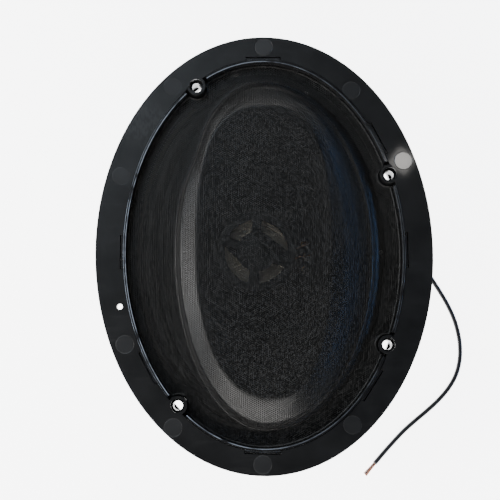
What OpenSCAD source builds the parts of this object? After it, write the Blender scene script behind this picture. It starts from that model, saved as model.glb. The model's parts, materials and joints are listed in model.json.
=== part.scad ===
// Oval two-way coaxial car speaker with a moulded flange, a domed perforated grille,
// a pole-mounted tweeter and a short two-core lead. Millimetres.
// +Z is the listening direction, +Y the long axis; the rear of the magnet cover is at z = 0.

/* [Flange] */
// Width of the flange over its outer edge
flange_w = 175; // [160:1:200]
// Length of the flange over its outer edge
flange_l = 229; // [205:1:260]
// Thickness of the flange
flange_t = 3; // [2.4:0.2:4]
// Visible width of the flange at the sides
flange_band_w = 14.1; // [12:0.1:16]
// Visible width of the flange at the ends
flange_band_l = 12.1; // [11:0.1:14]
// Height of the turned-down outer rim
rim_h = 5; // [4:0.5:8]
// Thickness of the rim and of the inner skirt
rim_t = 2; // [1.6:0.1:2.6]
// Height from the basket seat to the flange's front face
front_h = 13; // [12:0.5:18]

/* [Mounting holes] */
// Radius of the screw holes
hole_r = 2.5; // [2:0.1:3.2]
// Radius of the screw head recess
recess_r = 3.6; // [3.4:0.1:4.2]
// Depth of the screw head recess
recess_d = 4; // [2:0.5:6]
// Outer radius of the screw boss
boss_r = 4.9; // [4.7:0.1:6]
// Radius of the small locating hole
locator_r = 1.5; // [1:0.1:2]

/* [Grille] */
// Wall thickness of the grille's frame
frame_t = 1.3; // [1.1:0.1:2.2]
// How far the frame stands proud of the flange
frame_proud = 0.5; // [0:0.1:1]
// Length of a frame tab
tab_l = 18; // [12:1:22]
// How far a tab reaches into the flange
tab_d = 1; // [0.8:0.1:2]
// Depth of the grille sheet below the flange's front face
sheet_drop = 5.2; // [4:0.2:7]
// Thickness of the grille sheet
sheet_t = 0.8; // [0.6:0.1:1.2]
// Height of the dome's flat top above the sheet
dome_h = 12; // [6:0.5:14]
// Height of the ledge on the dome's right flank
ledge_h = 5; // [2:0.5:6]
// Sheet left flat at the left of the dome
margin_left = 24.8; // [22:0.2:28]
// Sheet left flat at the right of the dome
margin_right = 8.6; // [6:0.2:12]
// Sheet left flat at each end of the dome
margin_end = 8.8; // [6:0.2:12]
// Width of the ledge on the right flank
ledge_w = 6.7; // [4:0.1:8]
// Width of the dome's left shoulder, from foot to flat top
shoulder_left = 12; // [9:0.5:14]
// Width of the dome's right shoulder, from ledge to flat top
shoulder_right = 21.5; // [16:0.5:24]
// Length of the dome's end shoulders
shoulder_end = 16.2; // [12:0.2:20]

/* [Motor] */
// Offset of the driver's axis from the flange's centre
driver_x = -4; // [-5:0.5:0]
// Radius of the ferrite magnet
magnet_r = 45; // [40:1:50]
// Thickness of the ferrite magnet
magnet_t = 17; // [12:1:22]
// Thickness of the rear plate
back_plate_t = 5; // [4:0.5:7]
// Thickness of the top plate
top_plate_t = 6; // [4:0.5:8]
// Radius of the pole
pole_r = 12; // [10:0.1:14.4]
// Thickness of the magnet cover
cover_t = 2; // [1.5:0.1:3]

/* [Basket and cone] */
// Thickness of the pressed steel
steel_t = 1.2; // [1:0.1:1.6]
// Height from the basket's base to its flange's front face
basket_h = 37; // [34:1:42]
// Height of the basket's cup, up to the spider shelf
cup_h = 9.2; // [8:0.2:11]
// Width of the spider shelf
shelf_w = 12; // [10:0.5:14]
// Width of a basket window
window_w = 29; // [22:1:32]
// Width of the surround's roll
roll_w = 8.4; // [7:0.1:10]
// Height of the surround's roll
roll_h = 4.4; // [3:0.1:5]
// Thickness of the cone paper
cone_t = 0.7; // [0.5:0.1:1]
// Thickness of the surround and the spider
cloth_t = 0.6; // [0.5:0.1:0.8]

/* [Tweeter] */
// Outer radius of the tweeter's housing
tweeter_r = 20; // [19:0.5:22]
// Height of the tweeter's housing
tweeter_h = 12.4; // [12:0.2:15]
// Radius of the cover's central cap
cap_r = 10.2; // [9:0.1:11]
// Outer radius of the cover's windows
port_r = 16.6; // [15:0.1:17]
// Width of the cover's spokes
spoke_w = 4.6; // [3:0.2:6]
// Angles of the cover's spokes
spoke_angles = [88, 160, 264, 338];

/* [Lead] */
// Outside diameter of the speaker lead
lead_d = 2.6; // [2:0.1:3]

/* [Hidden] */
$fn = 96;
oval_n = 120;
sweep_n = 72;

// Running and seating clearances
fit = 0.3;
gap = 0.5;
eps = 0.01;

// Heights, from the rear of the magnet cover upwards
z_yoke = cover_t;
z_magnet = z_yoke + back_plate_t;
z_top_plate = z_magnet + magnet_t;
z_basket = z_top_plate + top_plate_t;
z_shelf = z_basket + cup_h;
z_seat = z_basket + basket_h;
z_front = z_seat + front_h;
z_sheet = z_front - sheet_drop;

// Half widths and half lengths, from the flange inwards
flange_hw = flange_w / 2;
flange_hl = flange_l / 2;
ring_hw = flange_hw - flange_band_w;
ring_hl = flange_hl - flange_band_l;
frame_hw = ring_hw - fit;
frame_hl = ring_hl - fit;
sheet_gap = 0.4;
sheet_hw = frame_hw - frame_t - sheet_gap;
sheet_hl = frame_hl - frame_t - sheet_gap;

// Screw bosses: places round the oval of the grille's frame, in degrees
boss_angles = [23.3, 119, 231.3, 331];
boss_in = 1.4;
boss_points = [for (a = boss_angles) [(ring_hw - boss_in) * cos(a), (ring_hl - boss_in) * sin(a)]];
locator_angle = 195.5;
locator_out = 4;

// Frame tabs round the oval, in degrees, and their height
tab_angles = [0, 35, 89.5, 180, 215.5, 268.5, 317.5];
tab_h = 2;
hook_angles = [12, 55, 75, 105, 165, 195, 250, 290, 346];
hook_w = 3;

// Width of the foam between the grille's frame and the ledge below it
foam_w = 3.3;

// Ledge inside the skirt that carries the basket, and the opening in it
seat_t = 2;
seat_w = 9.9;
open_hw = ring_hw - seat_w;
open_hl = ring_hl - seat_w + 0.8;
skirt_down = 5;

// Basket flange, screws through it, and the opening that the surround closes
seat_overlap = 4.6;
flange_lap = 3;
basket_hw = open_hw + seat_overlap;
basket_hl = open_hl + seat_overlap;
mouth_hw = open_hw - flange_lap;
mouth_hl = open_hl - flange_lap;
screw_in = 2.4;
screw_angles = [0, 65, 150, 205, 265, 310];
screw_r = 1.3;
screw_head_r = 2.8;
screw_head_h = 1.8;
screw_points = [for (a = screw_angles)
    [driver_x + (basket_hw - screw_in) * cos(a), (basket_hl - screw_in) * sin(a)]];

// Motor and voice coil radii
gap_in = 0.5;
former_in = pole_r + gap_in;
former_r = former_in + 0.2;
coil_r = former_r + 0.5;
top_plate_bore = coil_r + 0.4;
plate_r = magnet_r - 3;
magnet_bore = top_plate_bore + 8;
bolt_r = 2.4;
bolt_head_r = 4.2;
bolt_head_h = 3;
bolt_l = z_basket + 22 - z_yoke;

// Basket cup and shelf
cup_r = plate_r + 2;
shelf_r = cup_r + shelf_w;
base_hole_r = top_plate_bore + 6;
window_z = z_shelf + 3;
window_h = z_seat - window_z - 5;

// Cone and surround
surround_hw = open_hw - gap;
surround_hl = open_hl - gap;
edge_hw = mouth_hw - roll_w;
edge_hl = mouth_hl - roll_w;
lip_w = 2.2;
z_neck = z_shelf + 3;
z_edge = z_seat - 1;
neck_r = former_r - 0.05;
spider_in = former_r + 0.1;
travel = 4;

// Spider
spider_r = shelf_r - 2.5;
wave_in = former_r + 2.5;
wave_out = cup_r - 2;
waves = 6;
wave_h = 1.4;

// Tweeter heights and radii
z_tweeter = z_neck + 22;
z_cover = z_tweeter + tweeter_h;
post_r = 4.2;
post_foot_r = 10;
post_foot_h = 2;
shell_t = 1.6;
rebate_h = 2;
z_rebate = z_cover - rebate_h;
yoke_r = 12.4;
yoke_in = 10.3;
yoke_h = 7;
plate_in = 8.7;
tw_coil_in = 9.2;
tw_coil_r = 9.6;
diaphragm_r = 16.5;
z_diaphragm = z_rebate - 1.2;
cover_t2 = 1.8;

// Terminal board at the right of the basket
board_x = driver_x + shelf_r + 2.8;
board_t = 1.6;
board_w = 36;
board_h = 14;
z_board = z_shelf + 0.8;
lug_y = [-9.5, -3.5, 2.5];
lug_w = 4.2;
lug_t = 0.7;
blade_l = 7;
rivet_y = 15.4;
rivet_r = 1.4;
z_lug = z_board + 5.7;

// Lead grommet
exit_y = 8.5;
exit_z = 46;
grommet_r = 3.5;
grommet_l = 6.8;
taper_l = 12;
exit_x = 74;

// Capacitor under the spider shelf
cap_can_r = 4.4;
cap_can_l = 22;
cap_angle = -31;
cap_at = cup_r + 6.4;
z_cap = z_shelf - steel_t - cap_can_r - 0.1;
cap_x = driver_x + cap_at * cos(cap_angle);
cap_y = cap_at * sin(cap_angle);

// Eyelets on the cone, as angles round the driver's axis
eyelet_at = 27;
eyelet_angles = [-15, 0, 15];
eyelet_r = 1.7;

// Route of the speaker lead: out of the grommet, down to the surface, and along it
lead_points = [
    [74, 8.5, 46], [77, 8.5, 46], [81, 8.5, 44.4], [84.4, 8.5, 41.6], [86.6, 8.4, 37.6],
    [87.7, 8.2, 33], [88.3, 7.9, 28], [88.8, 7.4, 23], [89.4, 6.8, 18], [90.3, 5.8, 13.4],
    [91.8, 4.2, 9], [93.8, 1.8, 5.4], [96.2, -1.6, 2.9], [98.8, -5.4, 1.6], [101.4, -9.6, 1.3],
    [105.4, -16.2, 1.3], [109.4, -23.6, 1.3], [112.8, -31.6, 1.3], [115, -40, 1.3], [115.9, -48.6, 1.3],
    [115.2, -57.2, 1.3], [112.6, -65.4, 1.3], [108, -72.8, 1.3], [102, -79.4, 1.3], [95.2, -85.4, 1.3],
    [88.2, -91, 1.3], [81.4, -96.8, 1.3], [75, -103.2, 1.3], [69, -109.6, 1.3], [64, -115.2, 1.3]];

plastic = "#1c1c1e";
steel = "#2b2b2d";
zinc = "#a8abad";

// ---------- shared shapes ----------

function oval_points(a, b, n = oval_n) = [for (i = [0:n - 1]) [a * cos(360 * i / n), b * sin(360 * i / n)]];

module oval(a, b) polygon(oval_points(a, b));

// Band of an oval, from its outer half sizes inwards
module oval_band(a, b, w) difference() {
    oval(a, b);
    oval(a - w, b - w);
}

// Oval of the grille's frame drawn in by d, with a round bay at each screw boss
module bayed_oval(d) difference() {
    oval(frame_hw - d, frame_hl - d);
    for (p = boss_points) translate(p) circle(r = boss_r + fit + d);
}

// Rectangle with round corners
module soft_rectangle(w, h, r) {
    square([w - 2 * r, h], center = true);
    square([w, h - 2 * r], center = true);
    for (x = [-1, 1], y = [-1, 1]) translate([x * (w / 2 - r), y * (h / 2 - r)]) circle(r = r, $fn = 32);
}

// Puts its children on an oval at angle a, with their +X pointing outwards
module on_oval(a, b, angle) translate([a * cos(angle), b * sin(angle), 0])
    rotate([0, 0, atan2(a * sin(angle), b * cos(angle))]) children();

function flat(lists) = [for (l = lists) for (p = l) p];

// Solid from closed sections of m points that go round in a ring
module ring_of(sections) {
    n = len(sections);
    m = len(sections[0]);
    polyhedron(points = flat(sections), faces = [for (i = [0:n - 1], j = [0:m - 1])
        let (i2 = (i + 1) % n, j2 = (j + 1) % m)
        for (f = [[i * m + j, i2 * m + j, i2 * m + j2], [i * m + j, i2 * m + j2, i * m + j2]]) f]);
}

// Unit vector, and a cross direction carried from one tangent to the next without twist
function unit(v) = v / norm(v);
function carried(u, s, t) = u - (u * t) / (1 + s * t) * (s + t);

// Tube of radius r along points, with one ring of sides at each point
module tube(points, r, sides = 8) {
    last = len(points) - 1;
    tangents = [for (i = [0:last]) unit(points[min(i + 1, last)] - points[max(i - 1, 0)])];
    start = unit(cross(tangents[0], abs(tangents[0].z) > 0.8 ? [1, 0, 0] : [0, 0, 1]));
    ups = [for (i = 0, u = start; i <= last;
        u = carried(u, tangents[i], tangents[min(i + 1, last)]), i = i + 1) u];
    rings = [for (i = [0:last]) [for (k = [0:sides - 1])
        points[i] + r * (cos(360 * k / sides) * ups[i] + sin(360 * k / sides) * cross(tangents[i], ups[i]))]];
    polyhedron(points = flat(rings), faces = concat(
        [[for (k = [0:sides - 1]) k]],
        [for (i = [0:last - 1], k = [0:sides - 1]) let (k2 = (k + 1) % sides)
            for (f = [[i * sides + k, (i + 1) * sides + k2, i * sides + k2],
                [i * sides + k, (i + 1) * sides + k, (i + 1) * sides + k2]]) f],
        [[for (k = [sides - 1:-1:0]) last * sides + k]]));
}

module disc(r, h, z) translate([0, 0, z]) cylinder(r = r, h = h);

module washer(r, bore, h, z) difference() {
    disc(r, h, z);
    disc(bore, h + 2, z - 1);
}

module on_driver() translate([driver_x, 0, 0]) children();

// ---------- flange and grille ----------

module mounting_ring() color(plastic) difference() {
    union() {
        translate([0, 0, z_front - flange_t]) linear_extrude(flange_t)
            oval_band(flange_hw, flange_hl, flange_band_l);
        translate([0, 0, z_front - rim_h]) linear_extrude(rim_h) oval_band(flange_hw, flange_hl, rim_t);
        translate([0, 0, z_seat - skirt_down]) linear_extrude(z_front - z_seat + skirt_down)
            oval_band(ring_hw + rim_t, ring_hl + rim_t, rim_t);
        translate([0, 0, z_front - flange_t]) linear_extrude(flange_t) difference() {
            oval(flange_hw - 1, flange_hl - 1);
            oval(ring_hw, ring_hl);
        }
        translate([0, 0, z_seat]) linear_extrude(seat_t) difference() {
            oval(ring_hw + 1, ring_hl + 1);
            translate([driver_x, 0]) oval(open_hw, open_hl);
        }
        for (p = boss_points) translate([p.x, p.y, z_seat]) cylinder(r = boss_r, h = front_h);
        for (a = [7.5:15:360]) on_oval(ring_hw + rim_t, ring_hl + rim_t, a)
            translate([-0.5, -0.6, z_front - rim_h + 0.8])
                cube([flange_band_l - rim_t - 0.5, 1.2, rim_h - 1]);
    }
    for (p = boss_points) translate([p.x, p.y, z_seat - 1]) {
        cylinder(r = hole_r, h = front_h + 2);
        translate([0, 0, front_h + 1 - recess_d]) cylinder(r = recess_r, h = recess_d + 1);
    }
    on_oval(ring_hw, ring_hl, locator_angle) translate([locator_out, 0, z_front - flange_t - 1])
        cylinder(r = locator_r, h = flange_t + 2);
    for (a = tab_angles) on_oval(ring_hw, ring_hl, a)
        translate([-2, -tab_l / 2 - fit, z_front - tab_h - fit])
            cube([tab_d + fit + 2, tab_l + 2 * fit, tab_h + 1]);
    for (p = screw_points) translate([p.x, p.y, z_seat - 1]) cylinder(r = screw_r, h = seat_t + 2);
}

module grille_frame() color(plastic) {
    difference() {
        union() {
            translate([0, 0, z_seat + seat_t]) linear_extrude(z_front + frame_proud - z_seat - seat_t)
                difference() {
                    bayed_oval(0);
                    bayed_oval(frame_t);
                }
            translate([0, 0, z_sheet - sheet_t - 1.4]) linear_extrude(1.4) difference() {
                bayed_oval(frame_t - 0.2);
                bayed_oval(frame_t + 4.4);
            }
            for (a = tab_angles) on_oval(frame_hw, frame_hl, a)
                translate([-1, -tab_l / 2, z_front - tab_h]) cube([tab_d + 1, tab_l, tab_h]);
            for (a = hook_angles) on_oval(frame_hw - frame_t, frame_hl - frame_t, a)
                translate([-1, -hook_w / 2, z_sheet + 0.1]) cube([1.4, hook_w, 2.6]);
        }
        for (p = boss_points) translate([p.x, p.y, z_sheet - sheet_t])
            cylinder(r = boss_r + fit + frame_t + 0.3, h = z_front - z_sheet + sheet_t + 2);
    }
}

// Edge of the grille sheet at angle t: the oval, or the bay round a screw boss where one cuts in
bay_r = boss_r + fit + sheet_gap;
function bayed_share(p, at = 0) = at >= len(boss_points) ? 1 :
    let (c = boss_points[at], pc = p * c, pp = p * p, h = pc * pc - pp * (c * c - bay_r * bay_r))
    min(h > 0 && pc > 0 ? (pc - sqrt(h)) / pp : 1, bayed_share(p, at + 1));
function sheet_edge(t) = let (p = [sheet_hw * cos(t), sheet_hl * sin(t)]) p * min(1, bayed_share(p));

// How far the ledge shows at angle t: all of it at the right, none at the left
function right_share(t) = let (c = max(0, cos(t) * 0.5 + 0.5)) c * c * (3 - 2 * c);
foot_end = sheet_hl - margin_end;
foot_left = sheet_hw - margin_left;
ridge_right = sheet_hw - margin_right - ledge_w;
// A shallow dent in the foot and shoulder at the dome's upper left
dent_angle = 138;
function dent(t) = 1 - 0.045 * exp(-pow((t - dent_angle - 6) / 11, 2));
function dome_foot(t) = dent(t)
    * [(cos(t) > 0 ? sheet_hw - margin_right : foot_left) * cos(t), foot_end * sin(t)];
function dome_ridge(t) = dent(t)
    * [(cos(t) > 0 ? ridge_right : foot_left - 0.6) * cos(t), (foot_end - 1.2) * sin(t)];
function blunt(c, n) = sign(c) * pow(abs(c), 2 / n);
top_blunt = 2.8;
bottom_blunt = 2.3;
function dome_top(t) = let (n = sin(t) > 0 ? top_blunt : bottom_blunt)
    [(cos(t) > 0 ? ridge_right - shoulder_right : foot_left - shoulder_left) * blunt(cos(t), n)
        + (sin(t) < 0 ? 3.5 * pow(sin(t), 4) : 1.5 * pow(sin(t), 4)),
    (foot_end - shoulder_end) * blunt(sin(t), n)];
function mixed(a, b, s) = a + (b - a) * s;
function raised(p, z) = [p.x, p.y, z];

// Rings of the sheet from its edge to its flat top, for its front face, moved down by d for its rear
dome_steps = [0.12, 0.26, 0.42, 0.6, 0.8, 1];
function dome_rise(s, from, gentle) = from + (dome_h - from) * sin(90 * pow(s, 0.75 + 0.5 * gentle));
function sheet_rings(t, d) = let (low = ledge_h * right_share(t), gentle = right_share(t)) concat(
    [raised(sheet_edge(t), z_sheet - d)],
    [raised(mixed(dome_foot(t), sheet_edge(t), 0.1), z_sheet - d)],
    [raised(mixed(dome_foot(t), dome_ridge(t), 0.5), z_sheet - d + low * 0.5)],
    [raised(dome_ridge(t), z_sheet - d + low)],
    [for (s = dome_steps)
        raised(mixed(dome_ridge(t), dome_top(t), s), z_sheet - d + dome_rise(s, low, gentle))]);

module grille_sheet() color(plastic) {
    n = sweep_n * 2;
    fronts = [for (i = [0:n - 1]) sheet_rings(360 * i / n, 0)];
    backs = [for (i = [0:n - 1]) sheet_rings(360 * i / n, sheet_t)];
    m = len(fronts[0]);
    rear = n * m;
    middle = [0, 0, z_sheet + dome_h];
    polyhedron(points = concat(flat(fronts), flat(backs), [middle, middle - [0, 0, sheet_t]]),
        faces = concat(
            [for (i = [0:n - 1], j = [0:m - 2]) let (i2 = (i + 1) % n)
                for (f = [[i * m + j, i2 * m + j + 1, i2 * m + j],
                    [i * m + j, i * m + j + 1, i2 * m + j + 1]]) f],
            [for (i = [0:n - 1], j = [0:m - 2]) let (i2 = (i + 1) % n)
                for (f = [[rear + i * m + j, rear + i2 * m + j, rear + i2 * m + j + 1],
                    [rear + i * m + j, rear + i2 * m + j + 1, rear + i * m + j + 1]]) f],
            [for (i = [0:n - 1]) let (i2 = (i + 1) % n) [i * m + m - 1, 2 * rear, i2 * m + m - 1]],
            [for (i = [0:n - 1]) let (i2 = (i + 1) % n)
                [rear + i * m + m - 1, rear + i2 * m + m - 1, 2 * rear + 1]],
            [for (i = [0:n - 1]) let (i2 = (i + 1) % n)
                for (f = [[i * m, i2 * m, rear + i2 * m], [i * m, rear + i2 * m, rear + i * m]]) f]));
}

// Foam in four lengths, one between each pair of screw bays
module grille_gasket() color("#303030") translate([0, 0, z_seat + seat_t])
    linear_extrude(z_sheet - sheet_t - 1.4 - z_seat - seat_t) difference() {
        oval_band(frame_hw - frame_t - 0.3, frame_hl - frame_t - 0.3, foam_w);
        for (p = boss_points) translate(p) circle(r = boss_r + fit + frame_t + 0.9 + foam_w);
    }

// ---------- basket ----------

module wall_of(grow) hull() {
    translate([0, 0, z_shelf - steel_t]) linear_extrude(eps) circle(r = shelf_r - grow, $fn = 72);
    translate([0, 0, z_seat - eps]) linear_extrude(eps)
        polygon(oval_points(mouth_hw + steel_t - grow, mouth_hl + steel_t - grow, 72));
}

module basket() color(steel) difference() {
    union() {
        on_driver() {
            difference() {
                wall_of(0);
                translate([0, 0, eps]) wall_of(steel_t);
                translate([0, 0, -eps]) wall_of(steel_t);
                for (k = [0:7]) rotate([0, 0, 45 * k]) translate([cup_r - 6, 0, window_z + window_h / 2])
                    rotate([90, 0, 90]) linear_extrude(basket_hl) soft_rectangle(window_w, window_h, 4);
            }
            washer(cup_r, base_hole_r, steel_t, z_basket);
            washer(cup_r, cup_r - steel_t, cup_h, z_basket);
            washer(shelf_r, cup_r - 1, steel_t, z_shelf - steel_t);
            translate([0, 0, z_seat - steel_t]) linear_extrude(steel_t) difference() {
                oval(basket_hw, basket_hl);
                oval(mouth_hw, mouth_hl);
            }
        }
        translate([board_x - steel_t - 6, 0.5 - board_w / 2, z_shelf - steel_t])
            cube([6 + steel_t, board_w - 1, steel_t]);
        translate([board_x - steel_t, 0.5 - board_w / 2, z_shelf - steel_t])
            cube([steel_t, board_w - 1, board_h]);
    }
    for (p = boss_points) translate([p.x, p.y, z_seat - steel_t - 1])
        cylinder(r = boss_r + 3 * fit, h = steel_t + 2);
    for (p = screw_points) translate([p.x, p.y, z_seat - steel_t - 1])
        cylinder(r = screw_r + fit, h = steel_t + 2);
    on_driver() for (k = [0:3]) rotate([0, 0, 45 + 90 * k]) translate([plate_r - 7, 0, z_basket - 1])
        cylinder(r = 2.05, h = steel_t + 2);
    for (y = [-rivet_y, rivet_y]) translate([board_x - steel_t - 1, y, z_lug]) rotate([0, 90, 0])
        cylinder(r = rivet_r, h = steel_t + 2);
    for (y = lug_y) translate([board_x - steel_t - 1, y - 1.8, z_lug - 1.8]) cube([steel_t + 2, 3.6, 3.6]);
}

module basket_screws() color(zinc) for (p = screw_points)
    translate([p.x, p.y, z_seat - steel_t - screw_head_h]) difference() {
        union() {
            cylinder(r = screw_head_r, h = screw_head_h);
            cylinder(r = screw_r, h = screw_head_h + steel_t + seat_t - 0.1);
        }
        for (a = [0, 90]) rotate([0, 0, a]) translate([-1.6, -0.35, -1]) cube([3.2, 0.7, 2]);
    }

module basket_rivets() color(zinc) on_driver() for (k = [0:3]) rotate([0, 0, 45 + 90 * k])
    translate([plate_r - 7, 0, z_basket - 3]) {
        cylinder(r = 2, h = steel_t + 3.2);
        translate([0, 0, steel_t + 3]) cylinder(r1 = 3.4, r2 = 2.4, h = 1);
    }

// ---------- cone and suspension ----------

function surround_section(t) = let (
    z = z_seat, half = roll_w / 2, mid = mouth_hw - half, mid_l = mouth_hl - half,
    at = function(d, h) [(mid + d) * cos(t), (mid_l + d) * sin(t), z + h],
    out = surround_hw - mid)
    concat([at(out, 0), at(out, cloth_t)],
        [for (a = [0:20:180]) at((half - 0.2) * cos(a), cloth_t + roll_h * sin(a))],
        [at(-half - lip_w, cloth_t), at(-half - lip_w, 0)],
        [for (a = [180:-20:0]) at((half - 0.8) * cos(a), (roll_h) * sin(a))]);

module surround() color("#151515") on_driver()
    ring_of([for (i = [0:sweep_n - 1]) surround_section(360 * i / sweep_n)]);

module surround_gasket() color("#3a3632") on_driver() translate([0, 0, z_seat + cloth_t]) linear_extrude(1.4)
    oval_band(surround_hw, surround_hl, 2);

// Cone paper at share s of its slope, from the neck's circle to the edge's oval
function cone_hw(s) = neck_r + (edge_hw - lip_w - neck_r) * s;
function cone_hl(s) = neck_r + (edge_hl - lip_w - neck_r) * s;
function cone_z(s) = z_neck + (z_edge - z_neck) * pow(s, 0.9);
cone_shares = [0, 0.12, 0.25, 0.4, 0.55, 0.7, 0.85, 1];
function cone_point(s, t, up) = [cone_hw(s) * cos(t), cone_hl(s) * sin(t), cone_z(s) + up];
function cone_section(t) = concat(
    [for (s = cone_shares) cone_point(s, t, cone_t)],
    [[edge_hw * cos(t), edge_hl * sin(t), z_edge + cone_t]],
    [[edge_hw * cos(t), edge_hl * sin(t), z_edge]],
    [for (k = [len(cone_shares) - 1:-1:0]) cone_point(cone_shares[k], t, 0)]);

module cone() color("#26241f") on_driver()
    ring_of([for (i = [0:sweep_n - 1]) cone_section(360 * i / sweep_n)]);

module dust_felt() color("#141414") on_driver() washer(former_in, post_r + 1.4, 2, z_neck + 2);

module cone_eyelets() color("#b08d4c") on_driver() for (a = eyelet_angles) rotate([0, 0, a])
    translate([eyelet_at, 0, cone_z((eyelet_at - neck_r) / (edge_hw - lip_w - neck_r)) - 0.9])
        cylinder(r = eyelet_r, h = 2.8, $fn = 32);

function wave_z(r) = wave_h * sin(360 * waves * (r - wave_in) / (wave_out - wave_in));
function spider_line(d) = concat(
    [[spider_in, d]],
    [for (k = [0:8 * waves]) let (r = wave_in + (wave_out - wave_in) * k / (8 * waves)) [r, d + wave_z(r)]],
    [[wave_out + 1.5, d], [spider_r, d]]);

module spider() color("#c79a3a") on_driver() translate([0, 0, z_shelf]) rotate_extrude()
    polygon(concat(spider_line(0), [for (k = [len(spider_line(0)) - 1:-1:0]) spider_line(cloth_t)[k]]));

module coil_former() color("#b9792f") on_driver()
    washer(former_r, former_in, z_neck + 5 - z_top_plate + 5, z_top_plate - 5);

module voice_coil() color("#b5651d") on_driver() washer(coil_r, former_r, top_plate_t + 5, z_top_plate - 3);

// ---------- motor ----------

module top_plate() color(zinc) on_driver() difference() {
    washer(plate_r, top_plate_bore, top_plate_t, z_top_plate);
    for (k = [0:3]) rotate([0, 0, 45 + 90 * k]) translate([plate_r - 7, 0, z_basket - 3])
        cylinder(r = 2, h = 4);
}

module magnet() color("#2e2e30") on_driver() washer(magnet_r, magnet_bore, magnet_t, z_magnet);

module rear_yoke() color(zinc) on_driver() difference() {
    union() {
        disc(plate_r - 1, back_plate_t, z_yoke);
        disc(pole_r, z_basket + 1 - z_magnet, z_magnet);
    }
    disc(bolt_r, z_basket + 3, z_yoke - 1);
    disc(bolt_head_r, bolt_head_h + 1, z_yoke - 1);
}

module magnet_cover() color("#18181a") on_driver() difference() {
    disc(magnet_r + fit + cover_t, z_top_plate - 1, 0);
    disc(magnet_r + fit, z_top_plate, cover_t);
    for (a = [0:30:359]) rotate([0, 0, a]) translate([magnet_r + fit + cover_t + 0.6, 0, 6])
        cylinder(r = 1.4, h = z_top_plate, $fn = 24);
}

module tweeter_bolt() color(zinc) on_driver() difference() {
    union() {
        disc(bolt_head_r - 0.2, bolt_head_h, z_yoke);
        disc(bolt_r - 0.1, bolt_l, z_yoke);
    }
    translate([0, 0, z_yoke - 1]) cylinder(r = 2, h = 2.4, $fn = 6);
}

// ---------- tweeter ----------

module tweeter_post() color(plastic) on_driver() difference() {
    union() {
        disc(post_foot_r, post_foot_h, z_basket + 1);
        disc(post_r, z_tweeter - z_basket - 1, z_basket + 1);
    }
    disc(bolt_r - 0.1, z_yoke + bolt_l - z_basket, z_basket);
}

module tweeter_housing() color(plastic) on_driver() difference() {
    disc(tweeter_r, tweeter_h, z_tweeter);
    disc(tweeter_r - 2.4, tweeter_h, z_tweeter + shell_t);
    disc(tweeter_r - 1, rebate_h + 1, z_rebate);
}

module tweeter_yoke() color(zinc) on_driver() difference() {
    disc(yoke_r, yoke_h, z_tweeter + shell_t);
    disc(yoke_in, yoke_h, z_tweeter + shell_t + 1.4);
}

module tweeter_magnet() color("#8d8f91") on_driver()
    disc(plate_in - 0.4, yoke_h - 3, z_tweeter + shell_t + 1.4);

module tweeter_plate() color(zinc) on_driver() disc(plate_in, 1.6, z_tweeter + shell_t + yoke_h - 1.6);

module tweeter_coil() color("#b5651d") on_driver() washer(tw_coil_r, tw_coil_in, 3.6, z_diaphragm - 3.6);

// Dome in the middle, then a shallow cone out to the tweeter's surround
function diaphragm_line(d) = concat(
    [for (k = [0:6]) let (r = tw_coil_in * k / 6) [r, z_diaphragm + 1.8 * (1 - pow(r / tw_coil_in, 2)) + d]],
    [[tw_coil_r, z_diaphragm + d], [diaphragm_r, z_rebate + 0.1 + d]]);

module tweeter_diaphragm() color("#b08a5a") on_driver() rotate_extrude()
    polygon(concat(diaphragm_line(0), [for (k = [8:-1:0]) diaphragm_line(0.3)[k]]));

module tweeter_surround() color("#5a4630") on_driver() washer(tweeter_r - 1.2, diaphragm_r, 0.3, z_rebate);

module tweeter_cover() color(plastic) on_driver() {
    difference() {
        disc(tweeter_r + 0.6, cover_t2, z_cover);
        washer(port_r, cap_r, cover_t2 + 2, z_cover - 1);
    }
    for (a = spoke_angles) rotate([0, 0, a]) translate([cap_r - 0.6, -spoke_w / 2, z_cover])
        cube([port_r - cap_r + 1.2, spoke_w, cover_t2]);
    translate([0, 0, z_cover + cover_t2 - eps]) cylinder(r1 = cap_r - 1, r2 = cap_r - 5, h = 0.8);
    washer(tweeter_r - 1.2, tweeter_r - 2.2, rebate_h - 0.4, z_rebate + 0.4);
}

// ---------- terminals and inner wiring ----------

module terminal_board() color("#7a5a33") difference() {
    translate([board_x, -board_w / 2, z_board]) cube([board_t, board_w, board_h]);
    for (y = [-rivet_y, rivet_y]) translate([board_x - 1, y, z_lug]) rotate([0, 90, 0])
        cylinder(r = rivet_r, h = board_t + 2);
    for (y = lug_y) translate([board_x - 1, y - 1, z_lug - 0.7]) cube([board_t + 2, 2, 1.4]);
}

module terminal_rivets() color(zinc) for (y = [-rivet_y, rivet_y])
    translate([board_x, y, z_lug]) rotate([0, 90, 0]) {
    translate([0, 0, -steel_t - 0.8]) cylinder(r = 2.4, h = 0.8);
    translate([0, 0, -steel_t - 0.4]) cylinder(r = rivet_r, h = steel_t + board_t + 0.8);
    translate([0, 0, board_t]) cylinder(r = 2.4, h = 0.8);
}

module terminal_lugs() color("#c9a24a") for (y = lug_y) {
    translate([board_x + board_t, y - lug_w / 2, z_lug - 3]) cube([lug_t, lug_w, 8]);
    translate([board_x + board_t, y - lug_w / 2 + 0.5, z_lug + 5 - lug_t]) cube([blade_l, lug_w - 1, lug_t]);
    translate([board_x - steel_t - 2, y - 0.9, z_lug - 0.6]) cube([steel_t + board_t + 2.1, 1.8, 1.2]);
}

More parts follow.
